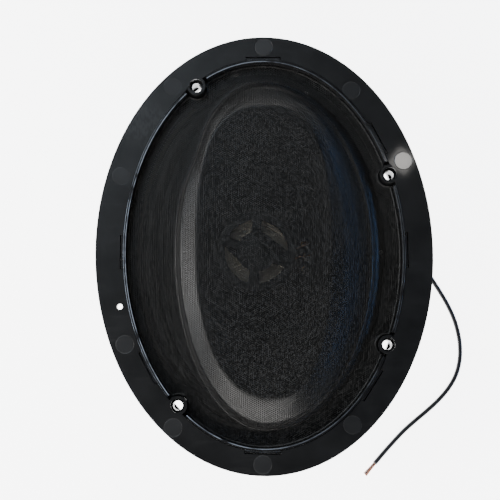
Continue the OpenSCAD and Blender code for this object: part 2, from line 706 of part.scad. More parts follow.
// Three braided leads from the lugs to the eyelets under the cone
stem_x = board_x - steel_t - 2;
function eyelet_at_angle(a) = [driver_x + eyelet_at * cos(a), eyelet_at * sin(a)];
function eyelet_under() = cone_z((eyelet_at - neck_r) / (edge_hw - lip_w - neck_r)) - 0.9;
module tinsel_leads() color("#b87333") for (k = [0:2]) {
    e = eyelet_at_angle(eyelet_angles[k]);
    a = [stem_x, lug_y[k], z_lug];
    span = stem_x - e.x;
    tube([a, [a.x - 3, a.y, z_lug - 0.6], for (s = [0.3, 0.5, 0.7, 0.85])
            [stem_x - span * s, a.y + (e.y - a.y) * s, z_lug - 1 - 1.2 * sin(180 * s) + 5 * s * s],
        [e.x, e.y, eyelet_under() - 1.2], [e.x, e.y, eyelet_under()]], 0.6);
}

// Two fine leads from the cone's eyelets up to the side of the tweeter's housing
module tweeter_leads() color("#b87333") for (k = [0, 1]) {
    e = eyelet_at_angle(eyelet_angles[k + 1]);
    y = [-2.4, 2.4][k];
    top = eyelet_under() + 2.8;
    high = z_tweeter + 5;
    tube([[e.x, e.y, top], [e.x, e.y, top + 1.6], [e.x + 1.2, e.y, mixed(top, high, 0.3)],
        [e.x + 1.8, mixed(e.y, y, 0.2), mixed(top, high, 0.55)],
        [e.x + 0.4, mixed(e.y, y, 0.5), mixed(top, high, 0.8)],
        [driver_x + tweeter_r + 3, mixed(e.y, y, 0.8), high - 0.6],
        [driver_x + tweeter_r + 1.2, y, high], [driver_x + tweeter_r - 0.8, y, high]], 0.4);
}

module on_capacitor() translate([cap_x, cap_y, z_cap]) rotate([0, 0, cap_angle]) rotate([-90, 0, 0])
    children();

module capacitor() color("#1f3a6e") on_capacitor() {
    translate([0, 0, -cap_can_l / 2]) cylinder(r = cap_can_r, h = cap_can_l);
    translate([0, 0, -cap_can_l / 2 - 0.5]) cylinder(r = cap_can_r - 1.2, h = cap_can_l + 1);
}

module capacitor_glue() color("#d8d2c0") difference() {
    translate([cap_x, cap_y, z_shelf - steel_t - 2.2]) rotate([0, 0, cap_angle]) translate([-3, -7, 0])
        cube([6, 14, 2.2]);
    on_capacitor() translate([0, 0, -cap_can_l]) cylinder(r = cap_can_r, h = 2 * cap_can_l);
}

// Wires from the capacitor's two ends to the first and second lugs
cap_end = cap_can_l / 2 + 0.5;
cap_dir = [-sin(cap_angle), cos(cap_angle)];
function cap_axis_point(d) = [cap_x + cap_dir.x * d, cap_y + cap_dir.y * d, z_cap];
lug_face = board_x + board_t + lug_t + 0.3;
module capacitor_leads() color("#b9bcc0") {
    tube([cap_axis_point(cap_end), cap_axis_point(cap_end + 2),
        [lug_face - 3.4, lug_y[0] - 1.4, z_cap + 0.6], [lug_face, lug_y[0], z_cap + 3.4],
        [lug_face, lug_y[0], z_lug - 3.5], [lug_face, lug_y[0], z_lug - 1]], 0.4);
    tube([cap_axis_point(-cap_end), cap_axis_point(-cap_end - 2), cap_axis_point(-cap_end - 3) + [3, -1, -2],
        cap_axis_point(-cap_end) + [9, 1, -4], cap_axis_point(0) + [9, -5, -4.5],
        cap_axis_point(8) + [7.5, -3, -3],
        [lug_face + 1.4, lug_y[1] - 1.6, z_cap + 1.6], [lug_face, lug_y[1], z_cap + 4.6],
        [lug_face, lug_y[1], z_lug - 3], [lug_face, lug_y[1], z_lug - 1]], 0.4);
}

module lead_grommet() color("#101012") translate([board_x + board_t, exit_y, exit_z]) rotate([0, 90, 0]) {
    cylinder(r = grommet_r, h = grommet_l);
    translate([0, 0, grommet_l - eps]) cylinder(r1 = grommet_r - 0.4, r2 = lead_d / 2 + 0.5,
        h = exit_x - board_x - board_t - grommet_l + eps);
}

// Two insulated cores from the grommet to the outer lugs
core_z = z_lug + 5 + 0.55;
module lead_cores() color("#8c1f1b") for (k = [0, 2]) {
    y = lug_y[k];
    start_x = board_x + board_t + 3 + k;
    tube([[start_x, exit_y - 1, exit_z + grommet_r - 0.2],
        [start_x, exit_y - 1.4, exit_z + grommet_r + 1.6],
        [start_x, exit_y - 2.6, core_z + 1.6 - k * 0.4],
        [start_x, mixed(exit_y, y, 0.55), core_z + 1.7 - k * 0.5],
        [start_x, y + 1.6, core_z + 0.6 - k * 0.1], [start_x, y - 0.4, core_z]], 0.7);
}

// ---------- speaker lead ----------

module speaker_lead() color("#111214") tube(lead_points, lead_d / 2);

// Two bare strands at the lead's end, one copper and one tinned
strand_end = lead_points[len(lead_points) - 1];
strand_dir = unit(strand_end - lead_points[len(lead_points) - 2]);
strand_side = [-strand_dir.y, strand_dir.x, 0];
module lead_strands() color("#c98f7a") for (k = [-1, 1]) tube([
    strand_end + strand_side * k * 0.55, strand_end + strand_dir * 3 + strand_side * k * 0.55,
    strand_end + strand_dir * 6 + strand_side * k * 0.6 - [0, 0, 0.3],
    strand_end + strand_dir * 8.6 + strand_side * k * 1.1 - [0, 0, 0.5]], 0.5);

mounting_ring();
grille_frame();
grille_sheet();
grille_gasket();
basket();
basket_screws();
basket_rivets();
surround();
surround_gasket();
cone();
dust_felt();
cone_eyelets();
spider();
coil_former();
voice_coil();
top_plate();
magnet();
rear_yoke();
magnet_cover();
tweeter_bolt();
tweeter_post();
tweeter_housing();
tweeter_yoke();
tweeter_magnet();
tweeter_plate();
tweeter_coil();
tweeter_diaphragm();
tweeter_surround();
tweeter_cover();
tweeter_leads();
terminal_board();
terminal_rivets();
terminal_lugs();
tinsel_leads();
capacitor();
capacitor_glue();
capacitor_leads();
lead_grommet();
lead_cores();
speaker_lead();
lead_strands();
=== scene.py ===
import json
import math

import bmesh
import bpy
import numpy as np
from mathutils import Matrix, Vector


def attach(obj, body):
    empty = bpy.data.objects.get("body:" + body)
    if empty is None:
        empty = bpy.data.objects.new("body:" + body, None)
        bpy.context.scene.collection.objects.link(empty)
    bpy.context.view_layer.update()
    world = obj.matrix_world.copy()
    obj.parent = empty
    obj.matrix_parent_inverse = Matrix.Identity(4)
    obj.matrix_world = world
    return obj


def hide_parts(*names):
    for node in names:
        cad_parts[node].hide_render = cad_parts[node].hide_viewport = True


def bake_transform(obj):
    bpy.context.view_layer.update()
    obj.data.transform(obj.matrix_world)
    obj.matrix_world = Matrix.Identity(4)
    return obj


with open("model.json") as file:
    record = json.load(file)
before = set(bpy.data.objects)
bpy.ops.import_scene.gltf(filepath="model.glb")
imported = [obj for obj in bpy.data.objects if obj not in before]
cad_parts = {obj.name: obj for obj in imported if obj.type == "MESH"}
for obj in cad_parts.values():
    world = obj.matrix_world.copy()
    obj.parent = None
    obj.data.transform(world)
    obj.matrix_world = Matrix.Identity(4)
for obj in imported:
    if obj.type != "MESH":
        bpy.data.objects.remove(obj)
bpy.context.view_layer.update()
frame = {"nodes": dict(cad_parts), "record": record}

MM = 0.001
NODES = frame["nodes"]

# Heights of the grille, the surround's seat, the spider's shelf and the cone's neck, and the place of the
# driver's axis, in millimetres
Z_SHEET = 74.8
Z_SEAT = 67.0
Z_SHELF = 39.2
Z_NECK = 42.2
DRIVER_X = -4.0

# ---------------------------------------------------------------- camera and lead

CAMERA_PLACE = (-0.008, -0.064, 0.6)
LENS = 72.85
LEAN_X, LEAN_Y = math.radians(0.07), math.radians(7.13)


def place_camera():
    """Camera over the grille, leaning a little towards the flange's top end."""
    data = bpy.data.cameras.new("camera")
    data.sensor_width = 36.0
    data.lens = LENS
    data.clip_end = 20.0
    camera = bpy.data.objects.new("camera", data)
    bpy.context.scene.collection.objects.link(camera)
    camera.location = CAMERA_PLACE
    ahead = Vector((math.sin(LEAN_X), math.sin(LEAN_Y), -1.0))
    camera.rotation_euler = ahead.to_track_quat("-Z", "Y").to_euler()
    bpy.context.scene.camera = camera


place_camera()


def add_polygons(name, points, groups):
    """Mesh object from an (n, 3) array of points in millimetres and several arrays of faces.

    All the faces of one array have one number of corners."""
    mesh = bpy.data.meshes.new(name)
    points = np.asarray(points, float).reshape(-1, 3) * MM
    groups = [np.asarray(g, np.int32) for g in groups]
    corners = np.concatenate([g.ravel() for g in groups])
    sizes = np.concatenate([np.full(len(g), g.shape[1]) for g in groups])
    starts = np.concatenate([[0], np.cumsum(sizes)[:-1]]).astype(np.int32)
    mesh.vertices.add(len(points))
    mesh.vertices.foreach_set("co", points.astype(np.float32).ravel())
    mesh.loops.add(len(corners))
    mesh.loops.foreach_set("vertex_index", corners)
    mesh.polygons.add(len(sizes))
    mesh.polygons.foreach_set("loop_start", starts)
    mesh.polygons.foreach_set("use_smooth", np.ones(len(sizes), bool))
    mesh.update(calc_edges=True)
    mesh.validate()
    piece = bpy.data.objects.new(name, mesh)
    bpy.context.scene.collection.objects.link(piece)
    return piece


def add_piece(name, points, faces):
    """Mesh object whose faces all have one number of corners."""
    return add_polygons(name, points, [faces])


def grid_faces(rows, columns, ring=False, closed=False):
    """Quads of a grid of rows by columns; ring joins the last row to the first, closed the last column."""
    i, j = np.meshgrid(np.arange(rows if ring else rows - 1),
                       np.arange(columns if closed else columns - 1), indexing="ij")
    i, j = i.ravel(), j.ravel()
    i2, j2 = (i + 1) % rows, (j + 1) % columns
    return np.stack([i * columns + j, i2 * columns + j, i2 * columns + j2, i * columns + j2], 1)


def smooth_path(points, steps):
    """Catmull-Rom curve through the points: each step is a cubic of its four nearest points."""
    p = np.asarray(points, float)
    p = np.concatenate([[2 * p[0] - p[1]], p, [2 * p[-1] - p[-2]]])
    s = np.linspace(0, 1, steps, endpoint=False)[None, :, None]
    a, b, c, d = (p[k:len(p) - 3 + k, None, :] for k in range(4))
    curve = 0.5 * (2 * b + (c - a) * s + (2 * a - 5 * b + 4 * c - d) * s**2 + (3 * b - a - 3 * c + d) * s**3)
    return np.concatenate([curve.reshape(-1, 3), p[-2:-1]])


# Height of a tube's domed end, as a share of its radius
END_RISE = 0.25


def tube(path, radius, sides=12, across=(0.7, 0.0, 0.7)):
    """Round tube: at each point of the path, a circle square to the path, with domed ends.

    Returns its points, the quads of its body and the triangles of its ends."""
    path = np.asarray(path, float)
    tangent = np.gradient(path, axis=0)
    tangent /= np.linalg.norm(tangent, axis=1, keepdims=True)
    side = np.cross(tangent, np.asarray(across, float))
    side /= np.linalg.norm(side, axis=1, keepdims=True)
    up = np.cross(side, tangent)
    turn = np.linspace(0, 2 * np.pi, sides, endpoint=False)
    ring = np.cos(turn)[None, :, None] * side[:, None, :] + np.sin(turn)[None, :, None] * up[:, None, :]
    points = path[:, None, :] + radius * ring
    rows = len(path)
    body = grid_faces(rows, sides, closed=True)
    rise = END_RISE * radius
    ends = np.stack([path[0] - tangent[0] * rise, path[-1] + tangent[-1] * rise])
    k = np.arange(sides)
    k2 = (k + 1) % sides
    first, last = rows * sides, rows * sides + 1
    far = (rows - 1) * sides
    caps = np.concatenate([
        np.stack([np.full(sides, first), k, k2], 1),
        np.stack([np.full(sides, last), far + k2, far + k], 1)])
    return np.concatenate([points.reshape(-1, 3), ends]), body, caps


def add_tube(name, path, radius, sides=12, across=(0.7, 0.0, 0.7)):
    """A tube as a piece."""
    points, body, caps = tube(path, radius, sides, across)
    return add_polygons(name, points, [body, caps])


def add_bundle(name, paths, radius, sides=8, across=(0.0, 0.0, 1.0)):
    """Several tubes of one radius, joined in one piece."""
    points, quads, ends, count = [], [], [], 0
    for path in paths:
        p, body, caps = tube(path, radius, sides, across)
        points.append(p)
        quads.append(body + count)
        ends.append(caps + count)
        count += len(p)
    return add_polygons(name, np.concatenate(points), [np.concatenate(quads), np.concatenate(ends)])


LEAD_ROUTE = [
    (74, 8.5, 46), (77, 8.5, 46), (81, 8.5, 44.4), (84.4, 8.5, 41.6), (86.6, 8.4, 37.6),
    (87.7, 8.2, 33), (88.3, 7.9, 28), (88.8, 7.4, 23), (89.4, 6.8, 18), (90.3, 5.8, 13.4),
    (91.8, 4.2, 9), (93.8, 1.8, 5.4), (96.2, -1.6, 2.9), (98.8, -5.4, 1.6), (101.4, -9.6, 1.3),
    (105.4, -16.2, 1.3), (109.4, -23.6, 1.3), (112.8, -31.6, 1.3), (115, -40, 1.3), (115.9, -48.6, 1.3),
    (115.2, -57.2, 1.3), (112.6, -65.4, 1.3), (108, -72.8, 1.3), (102, -79.4, 1.3), (95.2, -85.4, 1.3),
    (88.2, -91, 1.3), (81.4, -96.8, 1.3), (75, -103.2, 1.3), (69, -109.6, 1.3), (64, -115.2, 1.3)]
LEAD_D = 2.6
STRANDS, STRAND_R = 7, 0.22
STRAND_SPREAD, STRAND_TURNS, STRAND_DEPTH = 0.4, 1.1, 0.6

lead_path = smooth_path(LEAD_ROUTE, 8)
lead = add_tube("speaker_lead_jacket", lead_path, LEAD_D / 2, sides=20)
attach(lead, "chassis")
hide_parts("speaker_lead")


def strand_bundle(start, ahead, side, lean, spread, wires, turns, length):
    """Twisted wires: each is a helix about the bundle's line, which leans aside, and opens out at its tip.

    Returns one path of 24 points for each wire."""
    s = np.linspace(0, 1, 24)
    line = start + s[:, None] * length * ahead + (lean * s**2)[:, None] * side
    line[:, 2] = np.maximum(line[:, 2] - 0.5 * s, 0.55)
    up = np.array([0.0, 0.0, 1.0])
    phase = np.linspace(0, 2 * np.pi, wires, endpoint=False)[:, None] + turns * 2 * np.pi * s[None, :]
    wide = (spread * (0.75 + 0.7 * s**3))[None, :]
    out, over = (wide * np.cos(phase))[..., None], (wide * np.sin(phase))[..., None]
    return line[None] + out * side + over * up * 0.8


LEAD_END = np.array(LEAD_ROUTE[-1], float)
LEAD_AHEAD = LEAD_END - np.array(LEAD_ROUTE[-2], float)
LEAD_AHEAD /= np.linalg.norm(LEAD_AHEAD)
LEAD_SIDE = np.array([-LEAD_AHEAD[1], LEAD_AHEAD[0], 0.0])


def add_strands(name, offset, lean, length):
    """One bare conductor: seven twisted wires that start a little inside the jacket."""
    start = LEAD_END - LEAD_AHEAD * STRAND_DEPTH + LEAD_SIDE * offset
    paths = strand_bundle(start, LEAD_AHEAD, LEAD_SIDE, lean, STRAND_SPREAD, STRANDS, STRAND_TURNS, length)
    return add_bundle(name, paths, STRAND_R)


copper_strands = add_strands("copper_strands", 0.5, 0.15, 9.4)
tinned_strands = add_strands("tinned_strands", -0.5, -0.2, 9.2)
for piece in (copper_strands, tinned_strands):
    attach(piece, "chassis")
    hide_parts("lead_strands")

# ---------------------------------------------------------------- finishes


class Field:
    """A socket of a finish's node tree; sums and products of fields add Math nodes."""

    def __init__(self, finish, socket):
        self.finish, self.socket = finish, socket

    def made(self, operation, *values):
        return self.finish.node("ShaderNodeMath", {"operation": operation}, dict(enumerate(values)))

    def __add__(self, other):
        return self.made("ADD", self, other)

    __radd__ = __add__

    def __mul__(self, other):
        return self.made("MULTIPLY", self, other)

    __rmul__ = __mul__

    def __sub__(self, other):
        return self.made("SUBTRACT", self, other)

    def __rsub__(self, other):
        return self.made("SUBTRACT", other, self)

    def sine(self):
        return self.made("SINE", self)

    def size(self):
        return self.made("ABSOLUTE", self)

    def above(self, edge, soft):
        """0 below the edge, 1 above it, over a soft width."""
        return self.finish.node("ShaderNodeMapRange", {"clamp": True},
                                {0: self, 1: edge - soft / 2, 2: edge + soft / 2, 3: 0.0, 4: 1.0})


class Finish:
    """One material: its node tree, with the constants set on its shader's own sockets."""

    def __init__(self, name, **constants):
        self.material = bpy.data.materials.new(name)
        self.material.use_nodes = True
        self.tree = self.material.node_tree
        self.shader = self.tree.nodes["Principled BSDF"]
        for socket, value in constants.items():
            self.set(**{socket: value})

    def feed(self, socket, value):
        if isinstance(value, Field):
            self.tree.links.new(value.socket, socket)
        elif isinstance(value, (tuple, list)) and socket.type == "RGBA":
            socket.default_value = (*value[:3], 1.0)
        else:
            socket.default_value = value

    def node(self, kind, settings=None, values=None, output=0):
        made = self.tree.nodes.new(kind)
        for key, value in (settings or {}).items():
            setattr(made, key, value)
        for key, value in (values or {}).items():
            self.feed(made.inputs[key], value)
        return Field(self, made.outputs[output])

    def set(self, **values):
        """Feeds the shader's sockets, each named in lower case with underscores."""
        for key, value in values.items():
            self.feed(self.shader.inputs[key.replace("_", " ").title()], value)
        return self

    def here(self):
        """Object coordinates in millimetres."""
        at = self.node("ShaderNodeTexCoord", output="Object")
        return self.node("ShaderNodeVectorMath", {"operation": "SCALE"}, {0: at, "Scale": 1 / MM})

    def stretched(self, at, by):
        return self.node("ShaderNodeVectorMath", {"operation": "MULTIPLY"}, {0: at, 1: by})

    def part(self, at, axis):
        return self.node("ShaderNodeSeparateXYZ", None, {0: at}, output=axis)

    def noise(self, at, size, detail=3.0, roughness=0.55):
        return self.node("ShaderNodeTexNoise", None,
                         {"Vector": at, "Scale": 1 / size, "Detail": detail, "Roughness": roughness})

    def cells(self, at, size):
        return self.node("ShaderNodeTexVoronoi", {"feature": "F1"}, {"Vector": at, "Scale": 1 / size})

    def mixed(self, share, a, b):
        return self.node("ShaderNodeMix", {"data_type": "RGBA"}, {0: share, 6: a, 7: b}, output=2)

    def from_axis(self, at, x=DRIVER_X, y=0.0):
        """Distance from an upright axis."""
        moved = self.node("ShaderNodeVectorMath", {"operation": "SUBTRACT"}, {0: at, 1: (x, y, 0.0)})
        flat = self.stretched(moved, (1.0, 1.0, 0.0))
        return self.node("ShaderNodeVectorMath", {"operation": "LENGTH"}, {0: flat}, output="Value")

    def relief(self, height, depth):
        """Bump from a height between 0 and 1, of that depth in millimetres."""
        self.set(normal=self.node("ShaderNodeBump", None,
                                  {"Strength": 1.0, "Distance": depth * MM, "Height": height}))
        return self


def moulded(name, dark, light, gloss, grain=0.35, depth=0.012, broad=14.0, **constants):
    """Moulded plastic: fine spark-eroded grain, broad flow clouds and faint rubbed streaks."""
    f = Finish(name, **constants)
    at = f.here()
    clouds = f.noise(at, broad, 4.0)
    fine = f.noise(at, grain, 2.0)
    streaks = f.noise(f.stretched(at, (0.06, 0.9, 1.0)), 1.6, 3.0).above(0.62, 0.12)
    f.set(base_color=f.mixed(clouds.above(0.5, 0.5), dark, light),
          roughness=gloss + 0.10 * clouds + 0.06 * fine + 0.05 * streaks)
    return f.relief(fine, depth)


def turned_metal(name, dark, light, gloss, x=DRIVER_X, y=0.0, pitch=0.5, **constants):
    """Plated steel: turning rings about the driver's axis, zinc bloom and small stains."""
    f = Finish(name, metallic=1.0, **constants)
    at = f.here()
    rings = (f.from_axis(at, x, y) * (2 * math.pi / pitch)).sine() * 0.5 + 0.5
    bloom = f.noise(at, 5.0, 5.0, 0.65)
    f.set(base_color=f.mixed(bloom.above(0.52, 0.35), dark, light),
          roughness=gloss + 0.16 * bloom + 0.05 * rings)
    return f.relief(rings * 0.6 + f.noise(at, 0.4) * 0.4, 0.01)


def painted(name, dark, light, gloss, peel=1.2, depth=0.03, **constants):
    """Sprayed paint: orange peel, dust specks and slight colour clouds."""
    f = Finish(name, **constants)
    at = f.here()
    clouds = f.noise(at, 20.0, 4.0)
    skin = f.noise(at, peel, 2.0)
    specks = 1 - f.cells(at, 2.6).above(0.08, 0.03)
    f.set(base_color=f.mixed(clouds.above(0.5, 0.4), dark, light),
          roughness=gloss + 0.12 * clouds + 0.1 * specks)
    return f.relief(skin * 0.8 + specks * 0.2, depth)


def rubbery(name, dark, light, gloss=0.55, grain=0.5, depth=0.04, **constants):
    """Rubber or foam: pebbled skin with pale dusty clouds."""
    f = Finish(name, **constants)
    at = f.here()
    pebbles = f.cells(at, grain)
    clouds = f.noise(at, 9.0, 4.0)
    f.set(base_color=f.mixed(clouds.above(0.55, 0.3), dark, light), roughness=gloss + 0.15 * clouds)
    return f.relief(pebbles, depth)


def paper(name, dark, light, fibre=0.7, gloss=0.72, depth=0.05, **constants):
    """Pressed pulp: tangled fibres, mottling and a soft sheen."""
    f = Finish(name, **constants)
    at = f.here()
    one = f.noise(f.stretched(at, (0.35, 1.6, 1.0)), fibre, 4.0, 0.65)
    two = f.noise(f.stretched(at, (1.6, 0.35, 1.0)), fibre, 4.0, 0.65)
    mottle = f.noise(at, 7.0, 3.0)
    f.set(base_color=f.mixed((one * 0.5 + two * 0.5).above(0.5, 0.25) * 0.6 + mottle * 0.4, dark, light),
          roughness=gloss + 0.1 * mottle)
    return f.relief(one * 0.5 + two * 0.5, depth)


def woven(name, dark, light, pitch=0.7, depth=0.08, gloss=0.6, **constants):
    """Woven cloth: over and under threads along X and Y, dipped unevenly in resin."""
    f = Finish(name, **constants)
    at = f.here()
    across = (f.part(at, "X") * (math.pi / pitch)).sine()
    along = (f.part(at, "Y") * (math.pi / pitch)).sine()
    thread = (across * along) * 0.5 + 0.5
    ridge = across.size() * 0.5 + along.size() * 0.5
    dip = f.noise(at, 6.0, 4.0)
    f.set(base_color=f.mixed(thread * 0.5 + dip * 0.5, dark, light), roughness=gloss + 0.2 * (1 - dip))
    return f.relief(thread * 0.6 + ridge * 0.4, depth)


def braided(name, dark, light, pitch=0.9, **constants):
    """Braided wire: two sets of slanting strands that cross."""
    f = Finish(name, metallic=1.0, **constants)
    at = f.here()
    x, y, z = (f.part(at, a) for a in "XYZ")
    one = ((x + z * 1.3 + y) * (2 * math.pi / pitch)).sine()
    two = ((x - z * 1.3 - y) * (2 * math.pi / pitch)).sine()
    crossing = (one * two) * 0.5 + 0.5
    f.set(base_color=f.mixed(crossing, dark, light), roughness=0.3 + 0.2 * f.noise(at, 1.5))
    return f.relief(crossing, 0.12)


def wound(name, dark, light, pitch=0.28):
    """Enamelled wire wound in close turns up the coil."""
    f = Finish(name, metallic=0.7, coat_weight=0.4)
    at = f.here()
    turns = (f.part(at, "Z") * (2 * math.pi / pitch)).sine() * 0.5 + 0.5
    f.set(base_color=f.mixed(turns, dark, light), roughness=0.28 + 0.14 * f.noise(at, 2.0))
    return f.relief(turns, 0.08)


# Ejector pin marks on the flange: place, and how plainly each shows
PIN_MARKS = [(0.9, 109.1, 1.4), (73.4, 46.9, 2.0), (-47.4, -89.9, 0.8), (-72.1, -47.5, 0.8),
             (-2.1, -108.8, 0.8), (43.6, -89.4, 0.7), (-47.5, 88.1, 0.5), (-74.5, 40.3, 0.5),
             (46.9, 85.2, 0.7)]
PIN_R = 4.6
WORN_X, WORN_Y, WORN_R = -62.5, 69.0, 11.0


def flange_finish():
    """Black moulded flange: spark-eroded grain, flow clouds, a worn patch and the ejector pins' marks."""
    f = Finish("flange_plastic", coat_roughness=0.045)
    at = f.here()
    clouds = f.noise(at, 16.0, 4.0)
    fine = f.noise(at, 0.4, 2.0)
    streaks = f.noise(f.stretched(at, (0.07, 0.8, 1.0)), 1.6, 3.0).above(0.64, 0.1)
    rings, discs = 0.0, 0.0
    for x, y, plain in PIN_MARKS:
        away = f.from_axis(at, x, y)
        rings = rings + plain * (1 - (away - PIN_R).size().above(0.16, 0.16))
        discs = discs + plain * (1 - away.above(PIN_R, 0.3))
    scuffs = f.noise(f.stretched(at, (1.0, 0.35, 1.0)), 1.1, 2.0).above(0.5, 0.2)
    patch = (1 - f.from_axis(at, WORN_X, WORN_Y).above(WORN_R, 9.0)) * scuffs
    shade = clouds.above(0.5, 0.5) * 0.5 + discs * 0.5 + patch * 0.9
    f.set(base_color=f.mixed(shade, (0.0030, 0.0031, 0.0034), (0.0125, 0.013, 0.014)),
          roughness=0.27 + 0.08 * clouds + 0.05 * fine + 0.06 * streaks + 0.08 * discs + 0.05 * patch)
    f.set(coat_weight=0.3 + 0.3 * discs - 0.3 * rings)
    return f.relief(fine * 0.12 - rings * 0.9, 0.07)


# Half sizes of the oval that the grille frame's two painted highlight lines follow
EDGE_HW, EDGE_HL = 71.8, 100.8


def frame_finish():
    """Black moulded grille frame with a painted highlight along each of its two top edges: a thin broken
    bluish line, stronger on the left.

    An edge is where the oval radius, the root of (x / half width) squared plus (y / half length) squared,
    is near the edge's own value."""
    f = Finish("frame_plastic", coat_weight=0.8, coat_roughness=0.08)
    at = f.here()
    clouds = f.noise(at, 14.0, 4.0)
    fine = f.noise(at, 0.35, 2.0)
    oval = f.node("ShaderNodeVectorMath", {"operation": "LENGTH"},
                  {0: f.stretched(at, (1 / EDGE_HW, 1 / EDGE_HL, 0.0))}, output="Value")
    # Painted highlight: pale bluish lines on the two top edges, broken in patches and fading to the right,
    # standing in for the light that the rounded lip edges catch
    broken = f.noise(at, 9.0, 2.0).above(0.42, 0.2)
    left = (1 - f.part(at, "X").above(-5.0, 90.0)) * 0.8 + 0.2
    inner = 1 - (oval - 1.0025).size().above(0.0022, 0.0018)
    outer = 1 - (oval - 1.0165).size().above(0.0016, 0.0014)
    painted_lip_highlight = (inner * 0.8 + outer) * broken * left * f.part(at, "Z").above(80.1, 0.3)
    f.set(base_color=f.mixed(painted_lip_highlight, f.mixed(clouds.above(0.5, 0.5), (0.0035, 0.0036, 0.004),
                                                (0.008, 0.008, 0.009)), (0.3, 0.34, 0.4)),
          roughness=0.2 + 0.1 * clouds + 0.06 * fine)
    return f.relief(fine, 0.012)


FINISHES = {
    "flange_plastic": flange_finish(),
    "frame_plastic": frame_finish(),
    "tweeter_plastic": moulded("tweeter_plastic", (0.005, 0.005, 0.0052), (0.012, 0.012, 0.012), 0.38,
                               depth=0.02),
    "basket_steel": painted("basket_steel", (0.007, 0.007, 0.0075), (0.014, 0.014, 0.015), 0.32),
    "foam": rubbery("foam", (0.012, 0.012, 0.012), (0.03, 0.03, 0.03), 0.8, 0.45, 0.12),
    "zinc": turned_metal("zinc", (0.42, 0.42, 0.4), (0.68, 0.69, 0.7), 0.26, 0.0, 0.0, 3.1),
    "plate_steel": turned_metal("plate_steel", (0.4, 0.41, 0.41), (0.62, 0.63, 0.63), 0.24),
    "surround_rubber": rubbery("surround_rubber", (0.008, 0.008, 0.008), (0.018, 0.018, 0.018), 0.5, 0.35,
                               0.03),
    "gasket_board": paper("gasket_board", (0.035, 0.03, 0.025), (0.075, 0.065, 0.052)),
    "cone_paper": paper("cone_paper", (0.01, 0.01, 0.0095), (0.028, 0.026, 0.024), sheen_weight=0.15),
    "felt": paper("felt", (0.012, 0.012, 0.012), (0.04, 0.04, 0.04), 0.5, 0.9, 0.15),
    "brass": turned_metal("brass", (0.5, 0.34, 0.14), (0.78, 0.58, 0.28), 0.25, 0.0, 0.0, 2.3),
    "spider_cloth": woven("spider_cloth", (0.3, 0.16, 0.035), (0.62, 0.4, 0.12)),
    "former_film": moulded("former_film", (0.32, 0.15, 0.03), (0.46, 0.24, 0.06), 0.2, depth=0.004,
                           coat_weight=0.5),
    "copper_wire": wound("copper_wire", (0.32, 0.09, 0.03), (0.72, 0.3, 0.12)),
    "ferrite": painted("ferrite", (0.022, 0.022, 0.023), (0.05, 0.05, 0.052), 0.42, 0.5, 0.05),
    "cover_rubber": rubbery("cover_rubber", (0.009, 0.009, 0.0095), (0.02, 0.02, 0.021), 0.5, 0.7, 0.03),
    "neodymium": turned_metal("neodymium", (0.5, 0.5, 0.5), (0.72, 0.72, 0.71), 0.14, pitch=0.9),
    "diaphragm_film": paper("diaphragm_film", (0.3, 0.23, 0.14), (0.95, 0.86, 0.68), 0.9, 0.5, 0.1),
    "diaphragm_cloth": woven("diaphragm_cloth", (0.2, 0.14, 0.09), (0.42, 0.32, 0.2), 0.5, 0.05),
    "braid": braided("braid", (0.4, 0.17, 0.07), (0.8, 0.46, 0.26)),
    "board": paper("board", (0.16, 0.085, 0.03), (0.33, 0.2, 0.085), 1.2, 0.45, 0.02, coat_weight=0.2),
    "capacitor_sleeve": moulded("capacitor_sleeve", (0.01, 0.025, 0.12), (0.02, 0.045, 0.2), 0.22, broad=5.0,
                                depth=0.006, coat_weight=0.3),
    "glue": moulded("glue", (0.5, 0.44, 0.32), (0.72, 0.66, 0.52), 0.3, 1.5, 0.15, 4.0,
                    subsurface_weight=0.2),
    "tinned_wire": turned_metal("tinned_wire", (0.5, 0.51, 0.52), (0.74, 0.75, 0.76), 0.22, 0.0, 0.0, 0.7),
    "core_insulation": moulded("core_insulation", (0.2, 0.012, 0.012), (0.36, 0.03, 0.025), 0.28),
    "lead_jacket": moulded("lead_jacket", (0.007, 0.0075, 0.009), (0.014, 0.015, 0.019), 0.28, 0.3, 0.02,
                           6.0),
    "bare_copper": turned_metal("bare_copper", (0.55, 0.26, 0.17), (0.86, 0.55, 0.44), 0.28, 0.0, 0.0, 0.33),
    "bare_tinned": turned_metal("bare_tinned", (0.6, 0.42, 0.36), (0.85, 0.72, 0.66), 0.25, 0.0, 0.0, 0.33),
    "cone_cement": moulded("cone_cement", (0.008, 0.0075, 0.007), (0.025, 0.022, 0.018), 0.3, 1.5, 0.15, 3.0),
}


def dress(piece, finish):
    """Gives a piece, or a CAD node, one finish in all its slots."""
    slots = piece.data.materials
    if len(slots) == 0:
        slots.append(finish.material)
    for k in range(len(slots)):
        slots[k] = finish.material


record = frame["record"]
for row in record["subparts"]:
    if row["material_slot"] in FINISHES:
        dress(NODES[row["node"]], FINISHES[row["material_slot"]])
dress(lead, FINISHES["lead_jacket"])
dress(copper_strands, FINISHES["bare_copper"])
dress(tinned_strands, FINISHES["bare_tinned"])

# ---------------------------------------------------------------- moulded and pressed parts, edges rounded

SHARP_ANGLE = math.radians(35.0)


